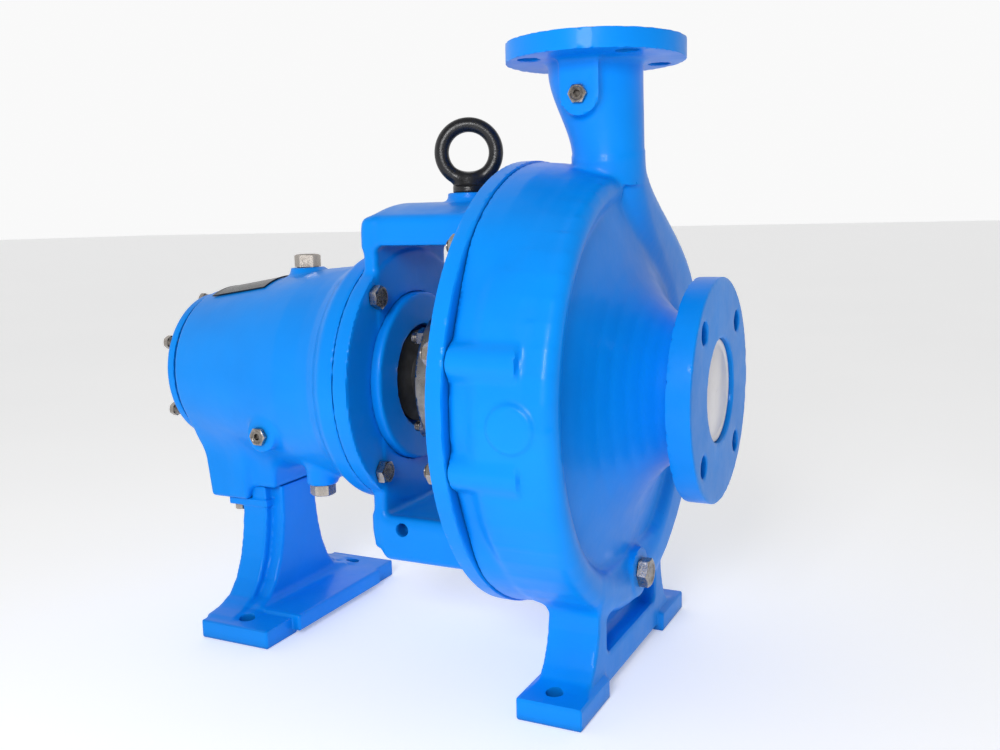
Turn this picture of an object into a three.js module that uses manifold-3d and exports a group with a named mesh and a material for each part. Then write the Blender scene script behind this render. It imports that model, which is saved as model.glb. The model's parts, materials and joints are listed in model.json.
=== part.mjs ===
// Back pull-out end-suction centrifugal pump, single stage, on casing feet and a frame foot.
// Millimetres. X runs along the shaft towards the suction, Z is up. Inside the pump group, x = 0 is
// the discharge centre line and z = 0 is the shaft centre line. The group is lifted by the shaft
// height and centred along X, so that the exported origin is on the floor under the pump.
import * as THREE from "three";
import { mergeVertices } from "three/addons/utils/BufferGeometryUtils.js";
import Module from "manifold-3d";

const wasm = await Module();
wasm.setup();

// ---- Driving dimensions -------------------------------------------------------------------
const SHAFT_HEIGHT = 254;
const DISCHARGE_RISE = 292;
const SUCTION_FACE = 110;
const SHAFT_END = -487;
const GAP = 0.3;
// Turned pieces that fit in one another share a number of sides, so that their facets line up.
const LARGE_SIDES = 30;
const SMALL_SIDES = 20;

const JOINT_X = -49.5;
const RIM = { r: 196.5, back: -64, boltR: 178, bolts: 12, shank: 6 };
const BARREL_R = 187;
const SHOULDER_BAND = { r: 194.5, reach: 110 };
const LUG_ANGLE = 13.3;
const COVER_R = 165;
const VOLUTE = { inner: 140, start: 182, growth: 19, sweep: 290, centreX: 2, halfWidth: 36 };
const NECK = { r: 40, waist: 32, waistZ: 190, lean: 8 };
const SUCTION = { od: 190.5, thick: 20, pcd: 152.4, hole: 19, bore: 89, neckR: 57 };
const DISCHARGE = { od: 152.4, thick: 16, pcd: 120.65, hole: 19, bore: 50.8 };

const BRIDGE = { outer: 163.5, inner: 139, halfWidth: 65, back: -200 };
const WALL = { back: -201, front: -186, r: 119.5, bore: 80.3 };
const NOSE = { front: -177, bore: 50 };
const FRAME = { rear: -420, rearR: 80, coneEnd: -280, coneR: 102, carrierBore: 62.3 };
const FRAME_BOLT = { r: 105.3, angle: 49.4 };
// The frame's support block rests on the frame foot at one height, and its shelf at a higher one.
const SUPPORT = { back: -411, step: -364, front: -333, halfWidth: 46, shelfHalf: 40, bottom: -131, shelf: -118 };

const CASING_FOOT = { x: 9, halfLength: 28.4, thick: 18.6, outerY: 142.5, innerY: 75.5, holeY: 122, legY: 86 };
const FRAME_FOOT = { x: -334, halfLength: 40, thick: 18, outerY: 112.5, holeY: 92, boltX: -385, boltY: 30 };
const WEB_X = -347;
const FOOT_HOLE_R = 8;

const BEARING = {
  seat: 22.5, innerOuter: 31.5, outerInner: 40.7, od: 50, pitch: 36.1, ball: 7.8, groove: 9.6,
};
const INBOARD_X = -239;
const OUTBOARD_X = -374.3;
const OUTBOARD_ROW = 10;
const CHAMBER_BACK = -133;
const GLAND_BACK = -147;
const SLEEVE_R = 24;
const STUD_R = 58;
const CARRIER = { front: -350, r: 62, flangeFront: -422.5, flangeBack: -434, flangeR: 76, boltR: 69.5, capAngle: 34 };
const EYE = { x: -123, height: 207, ring: 24.7, wire: 6.6, turn: 25 };
const FLOOR = -SHAFT_HEIGHT;

// ---- Materials ----------------------------------------------------------------------------
function finish(color, roughness, metalness) {
  return () => new THREE.MeshStandardMaterial({ color, roughness, metalness });
}
const enamel = finish(0x1482e6, 0.25, 0.0);
const castIron = finish(0x5b5f63, 0.6, 0.6);
const steel = finish(0x9fa3a6, 0.35, 0.9);
const bearingSteel = finish(0xc4c7ca, 0.2, 1.0);
const blackSteel = finish(0x17181a, 0.4, 0.7);
const rubber = finish(0x222222, 0.8, 0.0);
const gasketSheet = finish(0x6f6a5c, 0.9, 0.0);
const carbon = finish(0x2d2e30, 0.5, 0.2);
const plate = finish(0x101214, 0.35, 0.5);
const whitePlastic = finish(0xf4f2f4, 0.5, 0.0);

// ---- Solid helpers ------------------------------------------------------------------------
function signedVolume(position, index) {
  const corner = (i) => new THREE.Vector3().fromBufferAttribute(position, index.getX(i));
  let six = 0;
  for (let i = 0; i < index.count; i += 3) six += corner(i).dot(corner(i + 1).cross(corner(i + 2)));
  return six / 6;
}

function solid(geometry, matrix) {
  const bare = geometry.clone();
  if (matrix) bare.applyMatrix4(matrix);
  bare.deleteAttribute("normal");
  bare.deleteAttribute("uv");
  const merged = mergeVertices(bare, 1e-4);
  const tri = Uint32Array.from(merged.index.array);
  if (signedVolume(merged.attributes.position, merged.index) < 0) {
    for (let i = 0; i < tri.length; i += 3) [tri[i + 1], tri[i + 2]] = [tri[i + 2], tri[i + 1]];
  }
  const vertProperties = Float32Array.from(merged.attributes.position.array);
  return new wasm.Manifold(new wasm.Mesh({ numProp: 3, vertProperties, triVerts: tri }));
}

function geometryOf(manifold) {
  const mesh = manifold.getMesh();
  const geometry = new THREE.BufferGeometry();
  geometry.setAttribute("position", new THREE.BufferAttribute(mesh.vertProperties, 3));
  geometry.setIndex(new THREE.BufferAttribute(mesh.triVerts, 1));
  geometry.computeVertexNormals();
  return geometry;
}

const join = (first, ...rest) => rest.reduce((sum, piece) => sum.add(piece), first);
const cut = (first, ...rest) => rest.reduce((left, piece) => left.subtract(piece), first);
const degrees = (angle) => (angle * Math.PI) / 180;

// A profile of [x, radius] points turned about the X axis; it closes on itself.
function turned(profile, sides = LARGE_SIDES) {
  const points = profile.map(([x, r]) => new THREE.Vector2(r, x));
  points.push(points[0].clone());
  const lathe = new THREE.LatheGeometry(points, sides);
  return solid(lathe, new THREE.Matrix4().makeRotationZ(-Math.PI / 2));
}

const ring = (x0, x1, inner, outer, sides) =>
  turned([[x0, inner], [x0, outer], [x1, outer], [x1, inner]], sides);

const ALONG = {
  x: new THREE.Matrix4().makeRotationZ(-Math.PI / 2),
  y: new THREE.Matrix4(),
  z: new THREE.Matrix4().makeRotationX(Math.PI / 2),
};

// A cylinder or prism with its axis along x, y or z, from one end to the other.
function rod(axis, centre, from, to, r, sides = 20, tip = r) {
  const length = Math.abs(to - from);
  const [low, high] = from < to ? [r, tip] : [tip, r];
  const geometry = new THREE.CylinderGeometry(high, low, length, sides);
  const place = new THREE.Vector3(...centre);
  place[axis] = (from + to) / 2;
  const matrix = new THREE.Matrix4().makeTranslation(place).multiply(ALONG[axis]);
  return solid(geometry, matrix);
}

function block(x0, x1, y0, y1, z0, z1) {
  const geometry = new THREE.BoxGeometry(x1 - x0, y1 - y0, z1 - z0);
  const centre = new THREE.Vector3((x0 + x1) / 2, (y0 + y1) / 2, (z0 + z1) / 2);
  return solid(geometry, new THREE.Matrix4().makeTranslation(centre));
}

// An outline in the (y, z) plane, extruded along X from x0 to x1.
function slab(outline, x0, x1, curveSteps = 5) {
  const geometry = new THREE.ExtrudeGeometry(outline, {
    depth: x1 - x0, bevelEnabled: false, curveSegments: curveSteps,
  });
  const turn = new THREE.Matrix4().makeBasis(
    new THREE.Vector3(0, 1, 0), new THREE.Vector3(0, 0, 1), new THREE.Vector3(1, 0, 0),
  );
  return solid(geometry, new THREE.Matrix4().makeTranslation(x0, 0, 0).multiply(turn));
}

// Rings of points joined into one closed skin, with a flat cap on each end.
function lofted(rings) {
  const count = rings[0].length;
  const points = rings.flat();
  const faces = [];
  for (let i = 0; i + 1 < rings.length; i++) {
    for (let j = 0; j < count; j++) {
      const a = i * count + j;
      const b = i * count + ((j + 1) % count);
      faces.push(a, b, a + count, b, b + count, a + count);
    }
  }
  const last = (rings.length - 1) * count;
  for (let j = 1; j + 1 < count; j++) {
    faces.push(0, j + 1, j, last, last + j, last + j + 1);
  }
  const geometry = new THREE.BufferGeometry().setFromPoints(points);
  geometry.setIndex(faces);
  return solid(geometry);
}

// A duct section: a superellipse across the flow, half as high as `high` and half as wide as `wide`.
function section({ centre, outward, high, wide, power }, sides) {
  const bend = (v) => Math.sign(v) * Math.abs(v) ** (2 / power);
  return Array.from({ length: sides }, (_, i) => {
    const angle = (2 * Math.PI * i) / sides;
    return new THREE.Vector3(1, 0, 0).multiplyScalar(wide * bend(Math.sin(angle)))
      .addScaledVector(outward, high * bend(Math.cos(angle)))
      .add(centre);
  });
}

const around = (count, startAngle, make) =>
  Array.from({ length: count }, (_, i) => make(degrees(startAngle + (360 * i) / count), i));
const polar = (x, r, angle) => [x, r * Math.cos(angle), r * Math.sin(angle)];
const frameBoltAngles = [FRAME_BOLT.angle, 180 - FRAME_BOLT.angle, 180 + FRAME_BOLT.angle,
  360 - FRAME_BOLT.angle].map(degrees);

const pump = new THREE.Group();
pump.position.set(-(SUCTION_FACE + SHAFT_END) / 2, 0, SHAFT_HEIGHT);

function piece(name, manifold, material) {
  const mesh = new THREE.Mesh(geometryOf(manifold), material());
  mesh.name = name;
  pump.add(mesh);
}

// ---- Volute casing ------------------------------------------------------------------------
// The volute angle is counted from the top, down the near (-Y) side, under, and up the far side.
const radial = (angle) => new THREE.Vector3(0, -Math.sin(angle), Math.cos(angle));
const voluteOuter = (turn) => VOLUTE.start + VOLUTE.growth * Math.sin((Math.PI / 2) * (turn / VOLUTE.sweep));

function voluteStations(shape, from, step) {
  const stations = [];
  for (let turn = from; turn <= VOLUTE.sweep; turn += step) {
    const outward = radial(degrees(turn));
    const { inner, outer, x, wide } = shape(turn);
    const centre = outward.clone().multiplyScalar((inner + outer) / 2).setX(x);
    stations.push({ centre, outward, high: (outer - inner) / 2, wide, power: 4 });
  }
  return stations;
}

// From the end of the volute the duct turns up and in to the vertical discharge. It narrows to a
// waist, then widens again to the end radius.
function neckStations(last, waist, endRadius, top, count) {
  const start = last.centre.clone().setX(0);
  const startPull = radial(degrees(VOLUTE.sweep + 90)).multiplyScalar(140);
  const bendTop = new THREE.Vector3(0, 0, NECK.waistZ);
  const curve = new THREE.CubicBezierCurve3(
    start,
    start.clone().addScaledVector(startPull, 1 / 3),
    bendTop.clone().addScaledVector(new THREE.Vector3(0, 0, -150), 1 / 3),
    bendTop,
  );
  const stations = [];
  for (let i = 1; i <= count; i++) {
    const t = i / count;
    const flow = curve.getTangent(t);
    stations.push({
      centre: curve.getPoint(t).setX(THREE.MathUtils.lerp(last.centre.x, NECK.lean, t)),
      outward: new THREE.Vector3(0, flow.z, -flow.y),
      high: THREE.MathUtils.lerp(last.high, waist, t),
      wide: THREE.MathUtils.lerp(last.wide, waist, t),
      power: THREE.MathUtils.lerp(last.power, 2, Math.min(1, 2 * t)),
    });
  }
  const end = stations.at(-1);
  const above = (r, x, z) => ({ ...end, high: r, wide: r, centre: new THREE.Vector3(x, 0, z) });
  stations.push(above((waist + endRadius) / 2, NECK.lean / 2, NECK.waistZ + 42));
  stations.push(above(endRadius, 0, NECK.waistZ + 76), above(endRadius, 0, top));
  return stations;
}

function duct(shape, from, step, waist, endRadius, top, neckCount, sides) {
  const volute = voluteStations(shape, from, step);
  const neck = neckStations(volute.at(-1), waist, endRadius, top, neckCount);
  return lofted([...volute, ...neck].map((station) => section(station, sides)));
}

const outerDuct = () => duct(
  (turn) => ({
    inner: VOLUTE.inner, outer: voluteOuter(turn), x: VOLUTE.centreX, wide: VOLUTE.halfWidth,
  }),
  10, 14, NECK.waist, NECK.r, DISCHARGE_RISE - 5, 6, 12,
);
const waterDuct = () => duct(
  (turn) => ({
    inner: 148, outer: voluteOuter(turn) - 10, x: 5, wide: 15 + 10 * (turn / VOLUTE.sweep),
  }),
  50, 24, DISCHARGE.bore / 2 - 2, DISCHARGE.bore / 2, DISCHARGE_RISE + 5, 5, 8,
);

const shell = () => turned([
  [JOINT_X + GAP, 0], [JOINT_X + GAP, BARREL_R], [2, BARREL_R], [12, 183], [22, 175], [27, 167],
  [33, 143], [43, 108], [58, 79], [74, 62], [94, SUCTION.neckR], [94, 0],
]);

// Above and below, a crowned band on the barrel brings it out flush with the adapter's rim.
const crownedBand = () => cut(
  turned([
    [JOINT_X + GAP, 150], [JOINT_X + GAP, SHOULDER_BAND.r], [-28, SHOULDER_BAND.r - 1.5],
    [-10, SHOULDER_BAND.r - 5.5], [6, SHOULDER_BAND.r - 11], [9, 150],
  ]),
  block(JOINT_X, 20, -200, 200, -SHOULDER_BAND.reach, SHOULDER_BAND.reach),
);

// The impeller chamber, its front wall and the suction bore, with the cover's register behind.
const chamber = () => turned([
  [JOINT_X - 5, 0], [JOINT_X - 5, COVER_R + 0.4], [-32, COVER_R + 0.4], [-32, 158], [14, 158],
  [18, 150], [28, 115], [43, 78], [64, 51], [86, 44.5], [SUCTION_FACE + 2, 44.5],
  [SUCTION_FACE + 2, 0],
]);

function flangeHoles(axis, flange, from, to) {
  return around(4, 45, (angle) => {
    const [a, b] = [Math.cos(angle) * flange.pcd / 2, Math.sin(angle) * flange.pcd / 2];
    const centre = axis === "x" ? [0, a, b] : [a, b, 0];
    return rod(axis, centre, from, to, flange.hole / 2, 8);
  });
}

function casingPedestal() {
  const { x, halfLength, thick, outerY, innerY, holeY, legY } = CASING_FOOT;
  const leg = new THREE.Shape();
  leg.moveTo(-outerY + 4, FLOOR + 6);
  leg.lineTo(-outerY + 6, FLOOR + thick - 1);
  leg.lineTo(-legY - 20, FLOOR + thick + 2);
  leg.quadraticCurveTo(-legY - 2, FLOOR + 26, -legY, FLOOR + 50);
  leg.lineTo(-legY - 2, -150);
  leg.lineTo(legY + 2, -150);
  leg.lineTo(legY, FLOOR + 50);
  leg.quadraticCurveTo(legY + 2, FLOOR + 26, legY + 20, FLOOR + thick + 2);
  leg.lineTo(outerY - 6, FLOOR + thick - 1);
  leg.lineTo(outerY - 4, FLOOR + 6);
  const pedestal = slab(leg, x - 23, x + 23);
  const pads = [-1, 1].map((side) => {
    const [y0, y1] = [side * innerY, side * outerY].sort((a, b) => a - b);
    return block(x - halfLength, x + halfLength, y0, y1, FLOOR, FLOOR + thick);
  });
  const pocket = block(x, x + 40, 14 - legY, legY - 14, FLOOR + 30, -172);
  const holes = [-1, 1].map((side) =>
    rod("z", [x - 3, side * holeY, 0], FLOOR - 1, FLOOR + 40, FOOT_HOLE_R, 12));
  return { body: cut(join(pedestal, ...pads), pocket), holes };
}

function casing() {
  const { body: pedestal, holes } = casingPedestal();
  const lugs = [-LUG_ANGLE, LUG_ANGLE, 180 - LUG_ANGLE, 180 + LUG_ANGLE].map((angle) => {
    const [, y, z] = polar(0, RIM.boltR, degrees(angle));
    return rod("x", [0, y, z], JOINT_X + GAP, 8, 16.5, 12);
  });
  const sideBosses = [-1, 1].map((side) =>
    rod("y", [3, 0, -4], side * 150, side * 192.5, 18.5, 12));
  const drainBoss = rod("x", [0, 0, -168], 10, 39, 22, 16);
  const gaugeBoss = join(
    rod("y", [1, 0, 246], -20, -43, 17, 12),
    block(-16, 18, -43, -20, 246, 280),
  );
  const suctionFlange = ring(SUCTION_FACE - SUCTION.thick, SUCTION_FACE, 0, SUCTION.od / 2);
  const dischargeFlange = rod("z", [0, 0, 0], DISCHARGE_RISE - DISCHARGE.thick, DISCHARGE_RISE,
    DISCHARGE.od / 2, 32);
  const solidBody = join(
    shell(), crownedBand(), outerDuct(), pedestal, ...lugs, ...sideBosses, drainBoss, gaugeBoss,
    suctionFlange, dischargeFlange,
  );
  const studHoles = around(RIM.bolts, 15, (angle) =>
    rod("x", polar(0, RIM.boltR, angle), JOINT_X - 5, -18, RIM.shank + GAP, 8));
  return cut(
    solidBody, chamber(), waterDuct(), ...holes, ...studHoles,
    ...flangeHoles("x", SUCTION, SUCTION_FACE - 30, SUCTION_FACE + 5),
    ...flangeHoles("z", DISCHARGE, DISCHARGE_RISE - 25, DISCHARGE_RISE + 5),
    rod("x", [0, 0, -168], 20, 45, 8.5, 12),
    rod("y", [1, 0, 246], -50, -10, 6.5, 12),
  );
}
piece("volute_casing", casing(), enamel);

// ---- Small screwed pieces -----------------------------------------------------------------
// A hexagon or square head on a round shank. The head stands from `face` towards `out`.
function screw(axis, centre, face, out, { headR, headH, shankR, depth, sides = 6 }) {
  const head = rod(axis, centre, face + out * GAP, face + out * (GAP + headH), headR, sides);
  const shank = rod(axis, centre, face - out * depth, face + out * (GAP + 1), shankR, 8);
  return join(head, shank);
}
piece("casing_drain_plug", screw("x", [0, 0, -168], 39, 1,
  { headR: 13.5, headH: 10, shankR: 8.2, depth: 15 }), steel);
piece("discharge_gauge_plug", screw("y", [1, 0, 246], -43, -1,
  { headR: 8.2, headH: 4, shankR: 6.2, depth: 14 }), steel);

const portCap = turned([[92, 40], [92, 43.6], [106, 43.6], [106, 0], [101, 0], [101, 40]], SMALL_SIDES);
piece("suction_port_cap", portCap, whitePlastic);

// ---- Seal chamber cover and gasket --------------------------------------------------------
piece("casing_gasket", ring(-33.7, -32 - GAP, 159, COVER_R), gasketSheet);

function sealChamberCover() {
  const body = turned([
    [-31, 62], [-31, 157], [-34, 157], [-34, COVER_R], [-52, COVER_R], [-52, 149], [-45, 141],
    [-45, 82], [-58, 64], [CHAMBER_BACK + 13, 64], [CHAMBER_BACK + 13, 72], [CHAMBER_BACK, 72],
    [CHAMBER_BACK, 46], [-54, 46],
  ]);
  const studHoles = around(4, 45, (angle) =>
    rod("x", polar(0, STUD_R, angle), CHAMBER_BACK - 5, CHAMBER_BACK + 16, 5.3, 8));
  return cut(body, ...studHoles);
}
piece("seal_chamber_cover", sealChamberCover(), castIron);

// ---- Impeller -----------------------------------------------------------------------------
function impeller() {
  const hub = turned([
    [-33.5, 14.8], [-33.5, 32], [-26, 36], [-26, 150], [-21, 150], [-14, 60], [2, 34], [16, 22],
    [20, 0], [1, 0], [1, 14.8],
  ]);
  // The vanes run 1.6 mm clear of the casing's front wall.
  const sweepRoom = turned([
    [-24, 12], [-24, 150], [15.5, 150], [26, 115], [39, 82], [37, 40], [18, 12],
  ]);
  const vane = (start) => {
    const edge = (offset) => Array.from({ length: 6 }, (_, i) => {
      const t = i / 5;
      const r = 36 + 116 * t;
      const angle = start + degrees(105) * Math.sqrt(t);
      return new THREE.Vector2(
        r * Math.cos(angle) + offset * Math.sin(angle), r * Math.sin(angle) - offset * Math.cos(angle));
    });
    const outline = new THREE.Shape([...edge(3), ...edge(-3).reverse()]);
    return slab(outline, -22, 42).intersect(sweepRoom);
  };
  return join(hub, ...around(5, 0, vane));
}
piece("impeller", impeller(), castIron);

// ---- Shaft and what turns with it ---------------------------------------------------------
const KEY = { from: -481, to: -443, halfWidth: 3, bottom: 10.5, top: 17 };
const keySlot = block(KEY.from - GAP, KEY.to + GAP, -KEY.halfWidth - GAP, KEY.halfWidth + GAP,
  KEY.bottom - GAP, KEY.top + 3);
const seatR = BEARING.seat - GAP;
const shaft = turned([
  [SHAFT_END, 0], [SHAFT_END, 13], [SHAFT_END + 1.5, 14.3], [-437, 14.3], [-437, 19.5],
  [-404, 19.5], [-404, seatR], [-354, seatR], [-354, 27], [-252, 27], [-252, seatR], [-226, seatR],
  [-226, 21.5], [-200, 21.5], [-200, 19], [-34, 19], [-34, 14.3], [-1, 14.3], [-1, 0],
], SMALL_SIDES);
piece("pump_shaft", shaft.subtract(keySlot), steel);
piece("coupling_key", block(KEY.from, KEY.to, -KEY.halfWidth, KEY.halfWidth, KEY.bottom, KEY.top), steel);
piece("shaft_sleeve", ring(-172, -34.2, 19 + GAP, SLEEVE_R, SMALL_SIDES), bearingSteel);
piece("slinger_ring", turned(
  [[-186, 19 + GAP], [-186, 44], [-182, 44], [-176, 26], [-173, 26], [-173, 19 + GAP]], SMALL_SIDES), rubber);
piece("seal_rotating_head", turned([
  [-125.5, SLEEVE_R + GAP], [-125.5, 35], [-118, 35], [-118, 38], [-78, 38], [-78, SLEEVE_R + GAP],
], SMALL_SIDES), bearingSteel);
piece("bearing_lock_nut", ring(-403.5, -394.5, BEARING.seat, 33, SMALL_SIDES), steel);

// ---- Gland and its studs ------------------------------------------------------------------
function gland() {
  const seatBack = GLAND_BACK + 7;
  const body = turned([
    [GLAND_BACK, 27], [GLAND_BACK, 71], [CHAMBER_BACK - GAP, 71], [CHAMBER_BACK - GAP, 45.6],
    [-128, 45.6], [-128, 39], [seatBack, 39], [seatBack, 27],
  ]);
  const holes = around(4, 45, (angle) =>
    rod("x", polar(0, STUD_R, angle), GLAND_BACK - 5, CHAMBER_BACK + 5, 5.6, 8));
  return cut(body, ...holes);
}
piece("seal_gland", gland(), steel);
piece("seal_stationary_seat", ring(GLAND_BACK + 7 + GAP, -127, 27.3, 38.6, SMALL_SIDES), carbon);
around(4, 45, (angle, i) => {
  const at = polar(0, STUD_R, angle);
  const stud = rod("x", at, CHAMBER_BACK + 15, GLAND_BACK - 17, 5, 8);
  const nut = rod("x", at, GLAND_BACK - GAP, GLAND_BACK - 9, 9.5, 6);
  piece(`gland_stud_${i + 1}`, join(stud, nut), steel);
});

// ---- Frame adapter ------------------------------------------------------------------------
function frameAdapter() {
  const { halfWidth } = BRIDGE;
  const rim = turned([
    [RIM.back, 150], [RIM.back, RIM.r], [JOINT_X, RIM.r], [JOINT_X, COVER_R + 0.4],
    [-52 - GAP, COVER_R + 0.4], [-52 - GAP, 150],
  ]);
  const barrel = ring(BRIDGE.back, RIM.back + 4, BRIDGE.inner, BRIDGE.outer);
  const bridges = barrel.intersect(block(-210, -55, -halfWidth, halfWidth, -180, 180));
  const lowerBlock = block(-190, RIM.back + 2, -68, 68, -166, -124);
  const wallDisc = ring(WALL.back, WALL.front, 0, WALL.r);
  const wallTop = block(BRIDGE.back, WALL.front, -halfWidth, halfWidth, 0, 149);
  const wallFoot = block(BRIDGE.back, WALL.front, -halfWidth, halfWidth, -150, 0);
  const eyeBoss = rod("z", [EYE.x, 0, 0], 150, 171, 20, 20);
  const rearBevel = turned([
    [BRIDGE.back - 1, BRIDGE.outer - 13], [BRIDGE.back - 1, 200], [BRIDGE.back + 13, 200],
    [BRIDGE.back + 13, BRIDGE.outer + 1],
  ]);
  const drillings = [
    rearBevel,
    ring(WALL.back - 5, WALL.front + 5, 0, WALL.bore),
    rod("z", [EYE.x, 0, 0], 145, 175, 8.3, 12),
    ...around(RIM.bolts, 15, (angle) =>
      rod("x", polar(0, RIM.boltR, angle), RIM.back - 5, JOINT_X + 5, RIM.shank + 0.6, 8)),
    ...frameBoltAngles.map((angle) =>
      rod("x", polar(0, FRAME_BOLT.r, angle), WALL.back - 5, WALL.front + 5, 6.6, 8)),
    ...[-1, 1].map((side) => rod("y", [-167, 0, -134], side * 80, side * 53, 6, 10)),
    ...[-75, -105].map((angle) =>
      rod("x", polar(0, RIM.boltR, degrees(angle)), RIM.back - 18, RIM.back, 13, 12)),
  ];
  return cut(join(rim, bridges, lowerBlock, wallDisc, wallTop, wallFoot, eyeBoss), ...drillings);
}
piece("frame_adapter", frameAdapter(), enamel);

around(RIM.bolts, 15, (angle, i) => {
  const at = polar(0, RIM.boltR, angle);
  const stud = rod("x", at, -19, RIM.back - 14, RIM.shank, 8);
  const nut = rod("x", at, RIM.back - GAP, RIM.back - 10, 10, 6);
  piece(`casing_stud_${i + 1}`, join(stud, nut), steel);
});

// ---- Bearing frame ------------------------------------------------------------------------
const frameInside = [
  [-192, NOSE.bore], [-192, 38.3], [-220.5, 38.3], [-220.5, 46], [-224.5, 46], [-224.5, BEARING.od + GAP],
  [-256, BEARING.od + GAP], [-256, 74], [-266, 88], [-335, 82], [-345, FRAME.carrierBore],
];
function bearingFrame() {
  const outside = turned([
    [FRAME.rear, 0], [FRAME.rear, FRAME.rearR], [FRAME.coneEnd, FRAME.coneR], [-238, 106],
    [-226, 112], [-218, WALL.r], [WALL.back - GAP, WALL.r], [WALL.back - GAP, WALL.bore - GAP],
    [NOSE.front, WALL.bore - GAP], [NOSE.front, 0],
  ]);
  const { back, step, front, halfWidth, shelfHalf } = SUPPORT;
  const support = block(back, step, -halfWidth, halfWidth, SUPPORT.bottom, -30);
  const shelf = block(step - 1, front, -shelfHalf, shelfHalf, SUPPORT.shelf, -60);
  const inside = turned([
    [-170, 0], [-170, NOSE.bore], ...frameInside, [FRAME.rear - 5, FRAME.carrierBore], [FRAME.rear - 5, 0],
  ]);
  const fillerBoss = rod("z", [-308, 0, 0], 90, 103, 14, 16);
  const levelBoss = rod("y", [-305, 0, -51], -70, -92, 16, 16);
  const drainBoss = rod("z", [-269, -46, 0], -70, -104, 15, 16);
  const drillings = [
    rod("z", [-308, 0, 0], 70, 110, 7.3, 8),
    rod("y", [-305, 0, -51], -60, -97, 6.3, 8),
    rod("z", [-269, -46, 0], -65, -112, 6.3, 8),
    ...frameBoltAngles.map((angle) =>
      rod("x", polar(0, FRAME_BOLT.r, angle), WALL.back - 13, WALL.back + 5, 6.3, 8)),
    ...around(3, CARRIER.capAngle, (angle) =>
      rod("x", polar(0, CARRIER.boltR, angle), FRAME.rear - 5, FRAME.rear + 22, 4.4, 8)),
    ...[-1, 1].map((side) =>
      rod("z", [FRAME_FOOT.boltX, side * FRAME_FOOT.boltY, 0], SUPPORT.bottom - 5, -110, 4.4, 8)),
  ];
  return cut(join(outside, support, shelf, fillerBoss, levelBoss, drainBoss), inside, ...drillings);
}
piece("bearing_frame", bearingFrame(), enamel);

frameBoltAngles.forEach((angle, i) => piece(`frame_bolt_${i + 1}`,
  screw("x", polar(0, FRAME_BOLT.r, angle), WALL.front, 1,
    { headR: 11, headH: 8, shankR: 6, depth: 26 }), steel));

piece("oil_filler_plug", screw("z", [-308, 0, 0], 103, 1,
  { headR: 13, headH: 13, shankR: 7, depth: 12 }), steel);
piece("oil_level_plug", screw("y", [-305, 0, -51], -92, -1,
  { headR: 9, headH: 5, shankR: 6, depth: 12 }), steel);
piece("oil_drain_plug", screw("z", [-269, -46, 0], -104, -1,
  { headR: 12.5, headH: 11, shankR: 6, depth: 12 }), steel);

function nameplate() {
  const slope = (FRAME.coneR - FRAME.rearR) / (FRAME.coneEnd - FRAME.rear);
  const coneAt = (x) => FRAME.rearR + slope * (x - FRAME.rear);
  const [x0, x1] = [-402, -332];
  const skin = turned([
    [x0, coneAt(x0) + GAP], [x0, coneAt(x0) + 1.5], [x1, coneAt(x1) + 1.5], [x1, coneAt(x1) + GAP],
  ]);
  const window = block(x0 - 1, x1 + 1, -22, 22, 60, 120);
  const tilt = new THREE.Matrix4().makeRotationX(degrees(10));
  return skin.intersect(solid(geometryOf(window), tilt));
}
piece("frame_nameplate", nameplate(), plate);

// ---- Bearings -----------------------------------------------------------------------------
function raceProfile(x0, x1, plain, groovedR, rows, towardBalls) {
  const { groove } = BEARING;
  const lip = Math.abs(BEARING.pitch - groovedR);
  const half = Math.acos(lip / groove);
  const points = [[x0, plain], [x0, groovedR]];
  for (const row of rows) {
    for (let i = 0; i <= 2; i++) {
      const angle = -half + (2 * half * i) / 2;
      points.push([row + groove * Math.sin(angle), BEARING.pitch - towardBalls * groove * Math.cos(angle)]);
    }
  }
  points.push([x1, groovedR], [x1, plain]);
  return points;
}

function bearing(name, centre, halfWidth, rows, ballCount) {
  const [x0, x1] = [centre - halfWidth, centre + halfWidth];
  piece(`${name}_inner_race`,
    turned(raceProfile(x0, x1, BEARING.seat, BEARING.innerOuter, rows, 1), SMALL_SIDES), bearingSteel);
  piece(`${name}_outer_race`,
    turned(raceProfile(x0, x1, BEARING.od, BEARING.outerInner, rows, -1), SMALL_SIDES), bearingSteel);
  const cage = ring(rows[0] - 7, rows.at(-1) + 7, 34.6, 37.6, 14);
  const balls = rows.flatMap((row) => around(ballCount, 0, (angle) => {
    const ball = new THREE.OctahedronGeometry(BEARING.ball, 1);
    return solid(ball, new THREE.Matrix4().makeTranslation(...polar(row, BEARING.pitch, angle)));
  }));
  piece(`${name}_balls_and_cage`, join(cage, ...balls), bearingSteel);
}
bearing("inboard_bearing", INBOARD_X, 12.5, [INBOARD_X], 7);
bearing("outboard_bearing", OUTBOARD_X, 19.8, [OUTBOARD_X - OUTBOARD_ROW, OUTBOARD_X + OUTBOARD_ROW], 7);

piece("inboard_oil_seal", ring(-220, -202, 22, 38, SMALL_SIDES), rubber);
piece("outboard_oil_seal", ring(-432, -413, 20, 32.7, SMALL_SIDES), rubber);

// ---- Thrust bearing housing ---------------------------------------------------------------
function thrustBearingHousing() {
  const { front, r, flangeFront, flangeBack, flangeR, boltR, capAngle } = CARRIER;
  const body = turned([
    [front, BEARING.od + GAP], [front, r], [flangeFront, r], [flangeFront, flangeR],
    [flangeBack, flangeR], [flangeBack, 33], [-410, 33], [-410, 40], [-395, 40],
    [-395, BEARING.od + GAP],
  ]);
  const holes = around(6, capAngle, (angle) =>
    rod("x", polar(0, boltR, angle), flangeBack - 5, flangeFront + 5, 4.4, 8));
  return cut(body, ...holes);
}
piece("thrust_bearing_housing", thrustBearingHousing(), enamel);

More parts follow.
